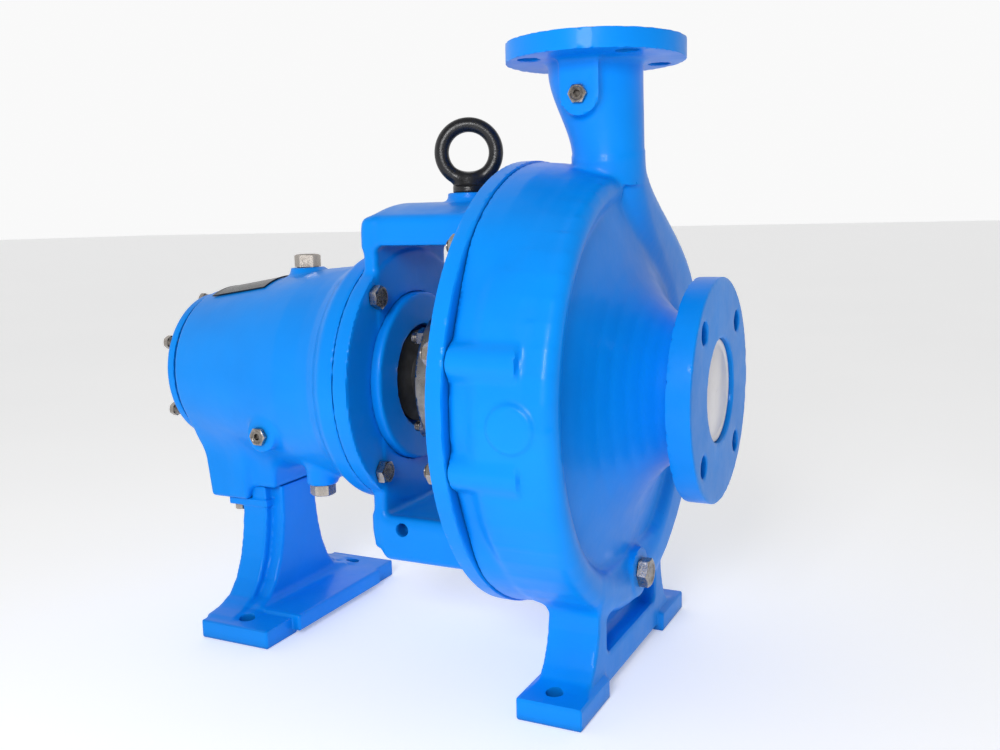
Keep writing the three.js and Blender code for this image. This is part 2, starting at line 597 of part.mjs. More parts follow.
around(3, CARRIER.capAngle, (angle, i) => piece(`carrier_cap_screw_${i + 1}`,
  screw("x", polar(0, CARRIER.boltR, angle), CARRIER.flangeBack, -1,
    { headR: 7, headH: 6, shankR: 4, depth: 28 }), steel));
around(3, CARRIER.capAngle + 60, (angle, i) => piece(`carrier_jack_screw_${i + 1}`,
  screw("x", polar(0, CARRIER.boltR, angle), CARRIER.flangeBack - 3, -1,
    { headR: 7, headH: 6, shankR: 4, depth: 15.8 }), steel));

// ---- Frame foot ---------------------------------------------------------------------------
function frameFoot() {
  const { x, halfLength, thick, outerY, holeY, boltX, boltY } = FRAME_FOOT;
  const plateTop = SUPPORT.bottom - GAP;
  const shelfTop = SUPPORT.shelf - GAP;
  const column = new THREE.Shape();
  column.moveTo(-100, FLOOR + 5);
  column.lineTo(-100, FLOOR + thick - 1);
  column.bezierCurveTo(-62, FLOOR + 22, -44, FLOOR + 50, -38, plateTop - 8);
  column.lineTo(-38, shelfTop);
  column.lineTo(38, shelfTop);
  column.lineTo(38, plateTop - 8);
  column.bezierCurveTo(44, FLOOR + 50, 62, FLOOR + 22, 100, FLOOR + thick - 1);
  column.lineTo(100, FLOOR + 5);
  const web = new THREE.Shape();
  web.moveTo(-90, FLOOR + 8);
  web.bezierCurveTo(-54, FLOOR + 24, -36, FLOOR + 50, -28, plateTop - 8);
  web.lineTo(-28, shelfTop);
  web.lineTo(28, shelfTop);
  web.lineTo(28, plateTop - 8);
  web.bezierCurveTo(36, FLOOR + 50, 54, FLOOR + 24, 90, FLOOR + 8);
  const stem = cut(
    join(slab(column, -377, WEB_X, 6), slab(web, WEB_X - 1, SUPPORT.front, 6)),
    block(-380, SUPPORT.step + GAP, -60, 60, plateTop, shelfTop + 5),
  );
  const pads = block(x - halfLength, x + halfLength, -outerY, outerY, FLOOR, FLOOR + thick);
  const middle = block(x - halfLength, x + halfLength + 9, -73, 73, FLOOR, FLOOR + thick + 3);
  const relief = block(x - halfLength - 5, x + halfLength + 12, -70, 70, FLOOR - 1, FLOOR + 5);
  const base = cut(join(pads, middle), relief);
  const topPlate = block(boltX - 8, -340, -40, 40, plateTop - 8, plateTop);
  const holes = [-1, 1].flatMap((side) => [
    rod("z", [x, side * holeY, 0], FLOOR - 1, FLOOR + 60, FOOT_HOLE_R, 12),
    rod("z", [boltX, side * boltY, 0], plateTop - 20, plateTop + 5, 4.6, 10),
  ]);
  return cut(join(stem, base, topPlate), ...holes);
}
piece("frame_foot", frameFoot(), enamel);
[-1, 1].forEach((side, i) => piece(`frame_foot_bolt_${i + 1}`,
  screw("z", [FRAME_FOOT.boltX, side * FRAME_FOOT.boltY, 0], SUPPORT.bottom - GAP - 8, -1,
    { headR: 7.5, headH: 6, shankR: 4, depth: 22 }), steel));

// ---- Lifting eye --------------------------------------------------------------------------
function liftingEye() {
  const torus = new THREE.TorusGeometry(EYE.ring, EYE.wire, 8, 20);
  const upright = new THREE.Matrix4().makeTranslation(EYE.x, 0, EYE.height)
    .multiply(new THREE.Matrix4().makeRotationZ(degrees(EYE.turn)))
    .multiply(new THREE.Matrix4().makeRotationX(Math.PI / 2));
  const collar = rod("z", [EYE.x, 0, 0], 171 + GAP, 178, 15, 20, 10);
  const shank = rod("z", [EYE.x, 0, 0], 152, 176, 8, 12);
  return join(solid(torus, upright), collar, shank);
}
piece("lifting_eye", liftingEye(), blackSteel);

const model = new THREE.Group();
model.add(pump);
export default model;
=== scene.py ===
"""Looks of a back pull-out centrifugal pump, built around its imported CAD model.

Shapes are worked out in millimetres in the pump's own frame: x = 0 is the discharge centre line,
z = 0 the shaft centre line, x runs towards the suction. The castings are signed distance fields,
joined with fillets and turned into meshes; the fasteners and turned pieces are made ring by ring.
"""

import json
import math

import bpy
import numpy as np
from mathutils import Matrix, Vector


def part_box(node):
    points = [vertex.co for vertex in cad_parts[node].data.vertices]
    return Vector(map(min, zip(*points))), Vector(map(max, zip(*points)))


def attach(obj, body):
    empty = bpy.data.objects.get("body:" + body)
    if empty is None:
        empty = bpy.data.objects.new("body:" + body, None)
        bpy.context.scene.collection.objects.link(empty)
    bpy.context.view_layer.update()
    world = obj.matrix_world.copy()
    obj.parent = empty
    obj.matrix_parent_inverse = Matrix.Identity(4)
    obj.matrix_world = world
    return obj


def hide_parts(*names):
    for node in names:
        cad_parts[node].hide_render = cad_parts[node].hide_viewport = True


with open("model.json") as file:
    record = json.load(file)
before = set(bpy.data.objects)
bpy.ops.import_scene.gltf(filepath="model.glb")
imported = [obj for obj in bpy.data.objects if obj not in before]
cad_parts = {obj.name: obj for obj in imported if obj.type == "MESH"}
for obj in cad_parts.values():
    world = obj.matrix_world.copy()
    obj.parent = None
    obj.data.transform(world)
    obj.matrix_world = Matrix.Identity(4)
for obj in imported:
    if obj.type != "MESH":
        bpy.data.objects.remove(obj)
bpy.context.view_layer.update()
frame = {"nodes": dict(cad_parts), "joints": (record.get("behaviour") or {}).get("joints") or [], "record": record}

# ---- Driving dimensions -------------------------------------------------------------------
MM = 0.001
MOUNTS = {mount["name"]: mount for mount in frame["record"]["mounts"]}
SPIN = next(joint for joint in frame["joints"] if joint["name"] == "rotor_spin")
SUCTION_FACE = 110.0
DATUM = np.array([
    MOUNTS["suction_flange_face"]["pos_m"][0] / MM - SUCTION_FACE, 0.0, SPIN["pos_m"][2] / MM,
])
FLOOR = -DATUM[2]
DISCHARGE_RISE = MOUNTS["discharge_flange_face"]["pos_m"][2] / MM - DATUM[2]


def node_box(node):
    """Lowest and highest corner of a CAD node, in the pump's frame."""
    low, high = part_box(node)
    return np.array(low) / MM - DATUM, np.array(high) / MM - DATUM


JOINT_X = -49.5
RIM_BACK, RIM_R, STUD_CIRCLE, STUD_COUNT = -64.0, 196.5, 178.0, 12
WALL_BACK, WALL_FRONT, WALL_R, WALL_BORE = -201.0, -186.0, 119.5, 80.3
NOSE_FRONT, NOSE_BORE = -177.0, 50.0
BRIDGE_OUTER, BRIDGE_INNER, BRIDGE_HALF, BRIDGE_BACK = 163.5, 139.0, 65.0, -200.0
EYE_X = sum(corner[0] for corner in node_box("lifting_eye")) / 2
FRAME_BOLT_R, FRAME_BOLT_ANGLE = 105.3, math.radians(49.4)
SUCTION = {"r": 95.25, "thick": 20.0, "circle": 76.2, "bore": 44.5}
DISCHARGE = {"r": 76.2, "thick": 16.0, "circle": 60.325, "bore": 25.4}
FLANGE_HOLE_R = 9.5
CASING_FOOT = {"x": 9.0, "half": 28.4, "thick": 18.6, "outer": 142.5, "inner": 75.5, "hole": 122.0}
LEG_HALF = 23.0
FRAME_FOOT = {"x": -334.0, "half": 40.0, "thick": 18.0, "outer": 112.5, "hole": 92.0}
SUPPORT = {"back": -411.0, "step": -364.0, "front": -333.0, "bottom": -131.0, "shelf": -118.0}
CARRIER = {"back": -434.0, "front": -422.5, "r": 76.0, "boltR": 69.5, "capAngle": 34.0}


# ---- Signed distance helpers --------------------------------------------------------------
def blend(first, second, fillet):
    """Union of two fields with a fillet of about that size where they meet."""
    reach = np.maximum(fillet - np.abs(first - second), 0) / fillet
    return np.minimum(first, second) - reach * reach * fillet / 4


def overlap(first, second, rounding):
    """Intersection of two fields with a rounded edge."""
    return -blend(-first, -second, rounding)


def without(body, tool, rounding=1.5):
    return overlap(body, -tool, rounding)


def corner_distance(a, b, edge):
    """Distance to the corner of two half planes, rounded by edge."""
    a = a + edge
    b = b + edge
    return np.hypot(np.maximum(a, 0), np.maximum(b, 0)) + np.minimum(np.maximum(a, b), 0) - edge


def rod(along, across, low, high, r, edge=1.0):
    """A cylinder: along is the coordinate on its axis, across the distance from the axis."""
    middle, half = (low + high) / 2, (high - low) / 2
    return corner_distance(across - r, np.abs(along - middle) - half, edge)


def block(point, low, high, edge=2.0):
    q = [np.abs(c - (l + h) / 2) - (h - l) / 2 + edge for c, l, h in zip(point, low, high)]
    outside = np.sqrt(sum(np.maximum(part, 0) ** 2 for part in q))
    return outside + np.minimum(np.maximum(np.maximum(q[0], q[1]), q[2]), 0) - edge


def nearest_copy(y, z, count, first):
    """Turns (y, z) about the shaft so that every one of count equal places falls on the first."""
    pitch = 2 * math.pi / count
    start = math.radians(first)
    angle = np.arctan2(z, y) - start
    angle = angle - pitch * np.round(angle / pitch)
    r = np.hypot(y, z)
    return r * np.cos(angle), r * np.sin(angle)


class Outline:
    """Distance to a closed outline, kept on a fine grid and softened at its corners."""

    CELL, MARGIN = 0.5, 24.0

    def __init__(self, points, soften):
        corners = np.array(points, float)
        self.low = corners.min(0) - self.MARGIN
        counts = np.ceil((corners.max(0) + self.MARGIN - self.low) / self.CELL).astype(int) + 1
        a, b = np.meshgrid(*(low + self.CELL * np.arange(n) for low, n in zip(self.low, counts)),
                           indexing="ij")
        nearest = np.full(a.shape, 1e9)
        inside = np.zeros(a.shape, bool)
        for (a0, b0), (a1, b1) in zip(corners, np.roll(corners, -1, 0)):
            da, db = a1 - a0, b1 - b0
            t = np.clip(((a - a0) * da + (b - b0) * db) / (da * da + db * db), 0, 1)
            nearest = np.minimum(nearest, np.hypot(a - a0 - t * da, b - b0 - t * db))
            if db:
                inside ^= ((b0 > b) != (b1 > b)) & (a < da * (b - b0) / db + a0)
        table = np.where(inside, -nearest, nearest)
        for _ in range(int(2.5 * (soften / self.CELL) ** 2)):
            padded = np.pad(table, 1, mode="edge")
            table = (table + padded[2:, 1:-1] + padded[:-2, 1:-1] + padded[1:-1, 2:]
                     + padded[1:-1, :-2]) / 5
        self.table = table.astype(np.float32)

    def __call__(self, a, b):
        far = 0.0
        index = []
        for value, low, count in zip((a, b), self.low, self.table.shape):
            place = (value - low) / self.CELL
            held = np.clip(place, 0, count - 1.001)
            far = far + np.abs(place - held) * self.CELL
            index.append(held)
        i, j = (held.astype(np.int32) for held in index)
        u, v = index[0] - i, index[1] - j
        table = self.table
        low_row = table[i, j] * (1 - v) + table[i, j + 1] * v
        high_row = table[i + 1, j] * (1 - v) + table[i + 1, j + 1] * v
        return low_row * (1 - u) + high_row * u + far


class Duct:
    """A duct of rounded rectangular sections along a curve. Each section spans the x direction
    and one direction across the flow."""

    REACH = 26.0
    OVERRUN = 3.6

    def __init__(self, stations):
        self.centre = np.array([s["centre"] for s in stations], float)
        self.outward = np.array([s["outward"] for s in stations], float)
        self.size = np.array([[s["high"], s["wide"], s["corner"]] for s in stations], float)

    def __call__(self, x, y, z):
        shape = np.shape(x)
        p = np.stack([np.ravel(c) for c in (x, y, z)], 1)
        nearest = np.full(len(p), self.REACH)
        for i in range(len(self.centre) - 1):
            start, end = self.centre[i], self.centre[i + 1]
            step = end - start
            reach = self.size[i:i + 2].max() * 1.2 + self.REACH
            close = np.flatnonzero((np.abs(p - (start + end) / 2) < reach + np.abs(step) / 2).all(1))
            if not len(close):
                continue
            away = p[close] - start
            free = away @ step / (step @ step)
            t = np.clip(free, 0, 1)
            outward = self.outward[i] + (self.outward[i + 1] - self.outward[i]) * t[:, None]
            outward /= np.linalg.norm(outward, axis=1)[:, None]
            away -= step * t[:, None]
            high, wide, corner = (self.size[i] + (self.size[i + 1] - self.size[i]) * t[:, None]).T
            across = np.abs((away * outward).sum(1)) - high
            side = np.abs(away[:, 0]) - wide
            past = np.maximum(np.abs(free - t) * np.linalg.norm(step) - self.OVERRUN, 0)
            flat = corner_distance(across, side, corner)
            found = np.where(past > 0, np.hypot(np.maximum(flat, 0), past), flat)
            nearest[close] = np.minimum(nearest[close], found)
        return nearest.reshape(shape)


# ---- Meshing ------------------------------------------------------------------------------
SHIFTS = np.eye(3)


def slopes(field, p, reach=0.2):
    """Unit gradient of a field at points."""
    parts = []
    for shift in SHIFTS * reach:
        parts.append(field(*(p + shift).T) - field(*(p - shift).T))
    normal = np.stack(parts, 1)
    return normal / np.maximum(np.linalg.norm(normal, axis=1), 1e-9)[:, None]


def contour(field, low, high, step):
    """Dual contouring: the field's zero surface as quads, with its edges kept crisp."""
    low = np.array(low, float)
    counts = np.ceil((np.array(high) - low) / step).astype(int) + 1
    xs, ys, zs = (l + step * np.arange(n) for l, n in zip(low, counts))
    y_grid, z_grid = np.meshgrid(ys, zs, indexing="ij")
    values = np.stack([field(np.full_like(y_grid, x), y_grid, z_grid) for x in xs])
    inside = values < 0
    strides = np.array([counts[1] * counts[2], counts[2], 1])
    all_points, all_normals, all_cells = [], [], []
    for axis in range(3):
        ahead = np.eye(3, dtype=int)[axis]
        shorter = [slice(0, n - 1) if i == axis else slice(1, n - 1) for i, n in enumerate(counts)]
        longer = [slice(1, n) if i == axis else slice(1, n - 1) for i, n in enumerate(counts)]
        corner = np.argwhere(inside[tuple(shorter)] != inside[tuple(longer)])
        corner += np.array([0 if i == axis else 1 for i in range(3)])
        before = values[tuple(corner.T)]
        after = values[tuple((corner + ahead).T)]
        crossing = (before / (before - after))[:, None]
        points = low + step * (corner + crossing * ahead)
        u, v = np.eye(3, dtype=int)[(axis + 1) % 3], np.eye(3, dtype=int)[(axis + 2) % 3]
        cells = np.stack([(corner - shift) @ strides for shift in (0 * u, u, u + v, v)], 1)
        turned_over = before > 0
        cells[turned_over] = cells[turned_over][:, ::-1]
        all_points.append(points)
        all_normals.append(slopes(field, points))
        all_cells.append(cells)
    points = np.repeat(np.concatenate(all_points), 4, 0)
    normals = np.repeat(np.concatenate(all_normals), 4, 0)
    cells, index = np.unique(np.concatenate(all_cells).ravel(), return_inverse=True)
    index = index.ravel()

    def total(weights):
        return np.bincount(index, weights, len(cells))

    share = total(np.ones(len(index)))
    middle = np.stack([total(points[:, i]) / share for i in range(3)], 1)
    matrix = np.empty((len(cells), 3, 3))
    for i in range(3):
        for j in range(3):
            matrix[:, i, j] = total(normals[:, i] * normals[:, j])
    offset = (normals * (points - middle[index])).sum(1)
    pull = np.stack([total(normals[:, i] * offset) for i in range(3)], 1)
    matrix += 0.08 * np.eye(3)
    middle += np.linalg.solve(matrix, pull[:, :, None])[:, :, 0]
    corner = np.stack([cells // strides[0], cells % strides[0] // strides[1], cells % strides[1]], 1)
    floor = low + step * corner
    vertices = np.clip(middle, floor, floor + step)
    return vertices, index.reshape(-1, 4)


def new_piece(name, vertices, faces, sharp=38.0):
    """A mesh object from points in the pump's frame."""
    mesh = bpy.data.meshes.new(name)
    placed = (np.asarray(vertices, float) + DATUM) * MM
    mesh.from_pydata(placed.tolist(), [], [list(face) for face in faces])
    mesh.validate()
    mesh.shade_smooth()
    mesh.set_sharp_from_angle(angle=math.radians(sharp))
    piece = bpy.data.objects.new(name, mesh)
    bpy.context.scene.collection.objects.link(piece)
    return piece


def cast_piece(name, field, low, high, step, sharp=38.0):
    vertices, faces = contour(field, low, high, step)
    return new_piece(name, vertices, faces.tolist(), sharp)


BODY_OF = {node: body for body, nodes in frame["record"]["behaviour"]["bodies"].items()
           for node in nodes}
SLOT_OF = {part["node"]: part["material_slot"] for part in frame["record"]["subparts"]}


def stand_for(piece, node, material):
    """The piece takes a CAD node's place: its body and its finish."""
    piece.data.materials.clear()
    piece.data.materials.append(material)
    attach(piece, BODY_OF[node])
    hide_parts(node)
    return piece


# ---- Materials ----------------------------------------------------------------------------
class Finish:
    """A small builder for a procedural material."""

    def __init__(self, name):
        self.material = bpy.data.materials.new(name)
        self.material.use_nodes = True
        self.tree = self.material.node_tree
        self.shader = self.tree.nodes["Principled BSDF"]
        place = self.tree.nodes.new("ShaderNodeTexCoord")
        self.place = place.outputs["Object"]

    def node(self, kind):
        return self.tree.nodes.new("ShaderNode" + kind)

    def link(self, output, target):
        self.tree.links.new(output, target)

    def feed(self, value, socket):
        """Sets a socket from another node's output, a colour or a number."""
        if isinstance(value, bpy.types.NodeSocket):
            self.link(value, socket)
        else:
            socket.default_value = (*value, 1) if isinstance(value, tuple) else value

    def noise(self, scale, detail=3.0, roughness=0.5, distortion=0.0):
        made = self.node("TexNoise")
        made.inputs["Scale"].default_value = scale
        made.inputs["Detail"].default_value = detail
        made.inputs["Roughness"].default_value = roughness
        made.inputs["Distortion"].default_value = distortion
        self.link(self.place, made.inputs["Vector"])
        return made.outputs["Fac"]

    def ramp(self, value, *stops):
        made = self.node("ValToRGB")
        elements = made.color_ramp.elements
        while len(elements) < len(stops):
            elements.new(0.5)
        for element, (at, color) in zip(elements, stops):
            element.position = at
            element.color = (*color, 1) if len(color) == 3 else color
        self.link(value, made.inputs["Fac"])
        return made.outputs["Color"]

    def grey_ramp(self, value, *stops):
        return self.ramp(value, *((at, (level, level, level)) for at, level in stops))

    def mix(self, factor, first, second, blend_type="MIX"):
        made = self.node("Mix")
        made.data_type = "RGBA"
        made.blend_type = blend_type
        sockets = (made.inputs[0], made.inputs[6], made.inputs[7])
        for value, socket in zip((factor, first, second), sockets):
            self.feed(value, socket)
        return made.outputs[2]

    def edges(self, lowest, highest):
        """White on convex edges, from the mesh's own pointiness."""
        geometry = self.node("NewGeometry")
        return self.grey_ramp(geometry.outputs["Pointiness"], (lowest, 0.0), (highest, 1.0))

    def crevices(self, distance):
        # Ambient occlusion within a distance: used to paint shade into crevices and between parts.
        occlusion_shade = self.node("AmbientOcclusion")
        occlusion_shade.samples = 4
        occlusion_shade.inputs["Distance"].default_value = distance
        return occlusion_shade.outputs["AO"]

    def bump(self, *layers):
        """Each layer is a height, its strength and its depth in metres."""
        normal = None
        for height, strength, distance in layers:
            made = self.node("Bump")
            made.inputs["Strength"].default_value = strength
            made.inputs["Distance"].default_value = distance
            self.link(height, made.inputs["Height"])
            if normal:
                self.link(normal, made.inputs["Normal"])
            normal = made.outputs["Normal"]
        self.link(normal, self.shader.inputs["Normal"])

    def set(self, **values):
        for key, value in values.items():
            self.feed(value, self.shader.inputs[key.replace("_", " ")])
        return self.material


def enamel(name="blue_enamel"):
    paint = Finish(name)
    patches = paint.noise(9.0, 3.0, 0.55)
    colour = paint.ramp(patches, (0.3, (0.001, 0.235, 0.80)), (0.7, (0.001, 0.275, 0.90)))
    # Painted shade: the enamel turns a darker blue in crevices and between parts, driven by ambient occlusion.
    painted_crevice_shade = paint.grey_ramp(paint.crevices(0.02), (0.25, 0.8), (0.7, 0.0))
    colour = paint.mix(painted_crevice_shade, colour, (0.001, 0.11, 0.40))
    gloss = paint.grey_ramp(paint.noise(38.0, 4.0, 0.6), (0.3, 0.30), (0.75, 0.44))
    paint.bump(
        (paint.noise(45.0, 2.0, 0.45), 0.22, 0.002),
        (paint.noise(220.0, 2.0, 0.5), 0.14, 0.0005),
        (paint.noise(900.0, 1.0, 0.5), 0.08, 0.0002),
    )
    return paint.set(Base_Color=colour, Roughness=gloss, Coat_Weight=0.07, Coat_Roughness=0.07,
                     Specular_IOR_Level=0.12)


def metal(name, dark, light, roughness, grain_scale=60.0, grain_depth=0.0003, oil=0.0):
    bare = Finish(name)
    cloud = bare.noise(grain_scale, 5.0, 0.65, 0.4)
    colour = bare.ramp(cloud, (0.3, dark), (0.72, light))
    # Painted shade: the metal turns darker in crevices and recesses, driven by ambient occlusion.
    occlusion_shade = bare.grey_ramp(bare.crevices(0.006), (0.3, 0.85), (0.9, 0.0))
    colour = bare.mix(occlusion_shade, colour, tuple(level * 0.22 for level in dark))
    colour = bare.mix(bare.edges(0.52, 0.6), colour, tuple(min(1, level * 1.25) for level in light))
    matt = bare.grey_ramp(bare.noise(grain_scale * 2.3, 4.0, 0.6), (0.3, roughness * 0.75),
                          (0.75, min(1.0, roughness * 1.45)))
    bare.bump((bare.noise(grain_scale * 9, 3.0, 0.6), 0.3, grain_depth))
    return bare.set(Base_Color=colour, Roughness=matt, Metallic=1.0, Coat_Weight=oil)


def plain(name, dark, light, roughness, scale=70.0, bump=0.25, depth=0.0004):
    """Plastic, rubber, carbon or sheet: a slightly uneven colour, gloss and surface."""
    made = Finish(name)
    colour = made.ramp(made.noise(scale, 4.0, 0.6), (0.3, dark), (0.7, light))
    matt = made.grey_ramp(made.noise(scale * 1.7, 3.0, 0.5), (0.3, roughness * 0.85),
                          (0.7, min(1.0, roughness * 1.2)))
    made.bump((made.noise(scale * 6, 3.0, 0.55), bump, depth))
    return made.set(Base_Color=colour, Roughness=matt)


BLUE = enamel()
FASTENER = metal("fastener_steel", (0.10, 0.088, 0.080), (0.36, 0.33, 0.30), 0.26, 160.0)
TURNED_STEEL = metal("machined_steel", (0.20, 0.197, 0.193), (0.35, 0.342, 0.335), 0.3, 90.0)
POLISHED = metal("polished_steel", (0.50, 0.50, 0.51), (0.66, 0.66, 0.67), 0.16, 60.0, 0.0001)
IRON = metal("raw_cast_iron", (0.08, 0.083, 0.088), (0.17, 0.172, 0.176), 0.55, 110.0, 0.0008)
BLACK = plain("black_steel", (0.004, 0.004, 0.005), (0.012, 0.012, 0.014), 0.3, 120.0, 0.35, 0.0006)
GASKET = plain("gasket_sheet", (0.13, 0.12, 0.09), (0.2, 0.19, 0.15), 0.85, 300.0, 0.5)
CARBON = plain("carbon", (0.02, 0.02, 0.022), (0.035, 0.035, 0.038), 0.4)
RUBBER = plain("seal_rubber", (0.012, 0.012, 0.012), (0.03, 0.03, 0.03), 0.65)
PLATE = plain("plate_black", (0.006, 0.008, 0.011), (0.014, 0.017, 0.021), 0.3, 200.0)
WHITE = plain("white_cap", (0.80, 0.78, 0.80), (0.88, 0.86, 0.88), 0.35, 40.0, 0.1)
MATERIAL_OF_SLOT = {
    "blue_enamel": BLUE, "fastener_steel": FASTENER, "machined_steel": TURNED_STEEL,
    "polished_steel": POLISHED, "raw_cast_iron": IRON, "black_steel": BLACK,
    "gasket_sheet": GASKET, "carbon": CARBON, "seal_rubber": RUBBER, "plate_black": PLATE,
    "white_cap": WHITE,
}
for node, cad_object in frame["nodes"].items():
    cad_object.data.materials.clear()
    cad_object.data.materials.append(MATERIAL_OF_SLOT[SLOT_OF[node]])


# ---- Volute casing ------------------------------------------------------------------------
def radial(turn):
    """Direction at a volute angle, counted from the top, down the near (-y) side and under."""
    angle = math.radians(turn)
    return np.array([0.0, -math.sin(angle), math.cos(angle)])


SWEEP = 290.0
NECK_START, NECK_RISE = 196.0, 74.0


def volute_section(turn, grown=0.0):
    """Inner and outer radius, middle x and half width of the volute channel at an angle."""
    share = turn / SWEEP
    outer = 181.0 + 19.5 * math.sin(math.pi / 2 * share)
    inner = np.interp(turn, (0, 60, 130, 200, 250, SWEEP), (158, 167, 166, 155, 130, 106))
    wide = np.interp(turn, (0, 50, 110, 200, SWEEP), (28, 33, 36, 37, 40))
    corner = np.interp(turn, (0, 120, 220, SWEEP), (12, 12.5, 16, 24))
    return inner, outer - grown, 2.0, wide - grown, corner


def duct_stations(section, waist, lean):
    stations = []
    for turn in np.arange(8.0, SWEEP + 1, 6.0):
        inner, outer, x, wide, corner = section(turn)
        high = (outer - inner) / 2
        centre = radial(turn) * (inner + outer) / 2 + np.array([x, 0, 0])
        stations.append({"centre": centre, "outward": radial(turn), "high": high, "wide": wide,
                         "corner": min(corner, high, wide)})
    last = stations[-1]
    top = np.array([lean, 0.0, NECK_START])
    pull_out = last["centre"] + radial(SWEEP + 92) * 58
    pull_in = top - np.array([0, -7.5, 54.0])
    count = 26
    for i in range(1, count + 1):
        t = i / count
        a, b, c, d = (1 - t) ** 3, 3 * (1 - t) ** 2 * t, 3 * (1 - t) * t * t, t ** 3
        centre = a * last["centre"] + b * pull_out + c * pull_in + d * top
        flow = ((1 - t) ** 2 * (pull_out - last["centre"]) + 2 * (1 - t) * t * (pull_in - pull_out)
                + t * t * (top - pull_in))
        flow /= np.linalg.norm(flow)
        ease = t * t * (3 - 2 * t)
        high = last["high"] + (waist - last["high"]) * min(1, 1.1 * t)
        wide = last["wide"] + (waist - last["wide"]) * ease
        stations.append({"centre": centre, "outward": np.array([0, flow[2], -flow[1]]),
                         "high": high, "wide": wide,
                         "corner": last["corner"] + (waist - last["corner"]) * ease})
    return stations


def neck_field(x, y, z, waist, top_radius, lean):
    """The round upper neck: as it rises it widens and comes back to the discharge centre line."""
    share = np.clip((z - NECK_START) / NECK_RISE, 0, 1)
    ease = share * share * (3 - 2 * share)
    across = np.hypot(x - lean * (1 - ease), y) - waist - (top_radius - waist) * ease
    return corner_distance(across, np.abs(z - NECK_START - 32) - 56, 1)


NECK = {"waist": 30.6, "lean": 11.0}
WATER = {"waist": 21.5, "lean": 8.0}
casing_duct = Duct(duct_stations(volute_section, **NECK))
water_duct = Duct(duct_stations(
    lambda turn: (158, volute_section(turn)[1] - 12, 5.0, 14 + 9 * turn / SWEEP, 8.0), **WATER))

casing_shell = Outline([
    (-49.2, -30), (-49.2, 185), (-47, 187), (2, 186.5), (11, 184), (19, 177.5), (25, 168), (27.5, 158),
    (30, 145), (33.5, 128), (38.5, 110), (45, 94), (53, 81), (62, 71), (72, 63.5), (84, 58), (94, 57),
    (94, -30),
], 1.6)
BAND_X = [-52, -44, -28, -10, 2, 10, 14]
BAND_R = [195, 194.7, 193.2, 189.6, 186.4, 183.4, 181]
BAND_DROP = 10.5
casing_chamber = Outline([
    (-70, -30), (-70, 165.4), (-32, 165.4), (-32, 158), (14, 158), (18, 150), (28, 115), (43, 78),
    (64, 51), (86, 44.5), (130, 44.5), (130, -30),
], 0.8)
LEG_FOOT = FLOOR + CASING_FOOT["thick"]
leg_outline = Outline([
    (-30, FLOOR + 6), (CASING_FOOT["outer"] - 8, FLOOR + 6), (CASING_FOOT["outer"] - 12, LEG_FOOT - 3),
    (120, LEG_FOOT - 1), (108, LEG_FOOT + 4), (99, LEG_FOOT + 13), (92, LEG_FOOT + 26),
    (87.5, LEG_FOOT + 40), (86, LEG_FOOT + 56), (87, -150), (-30, -150),
], 1.5)


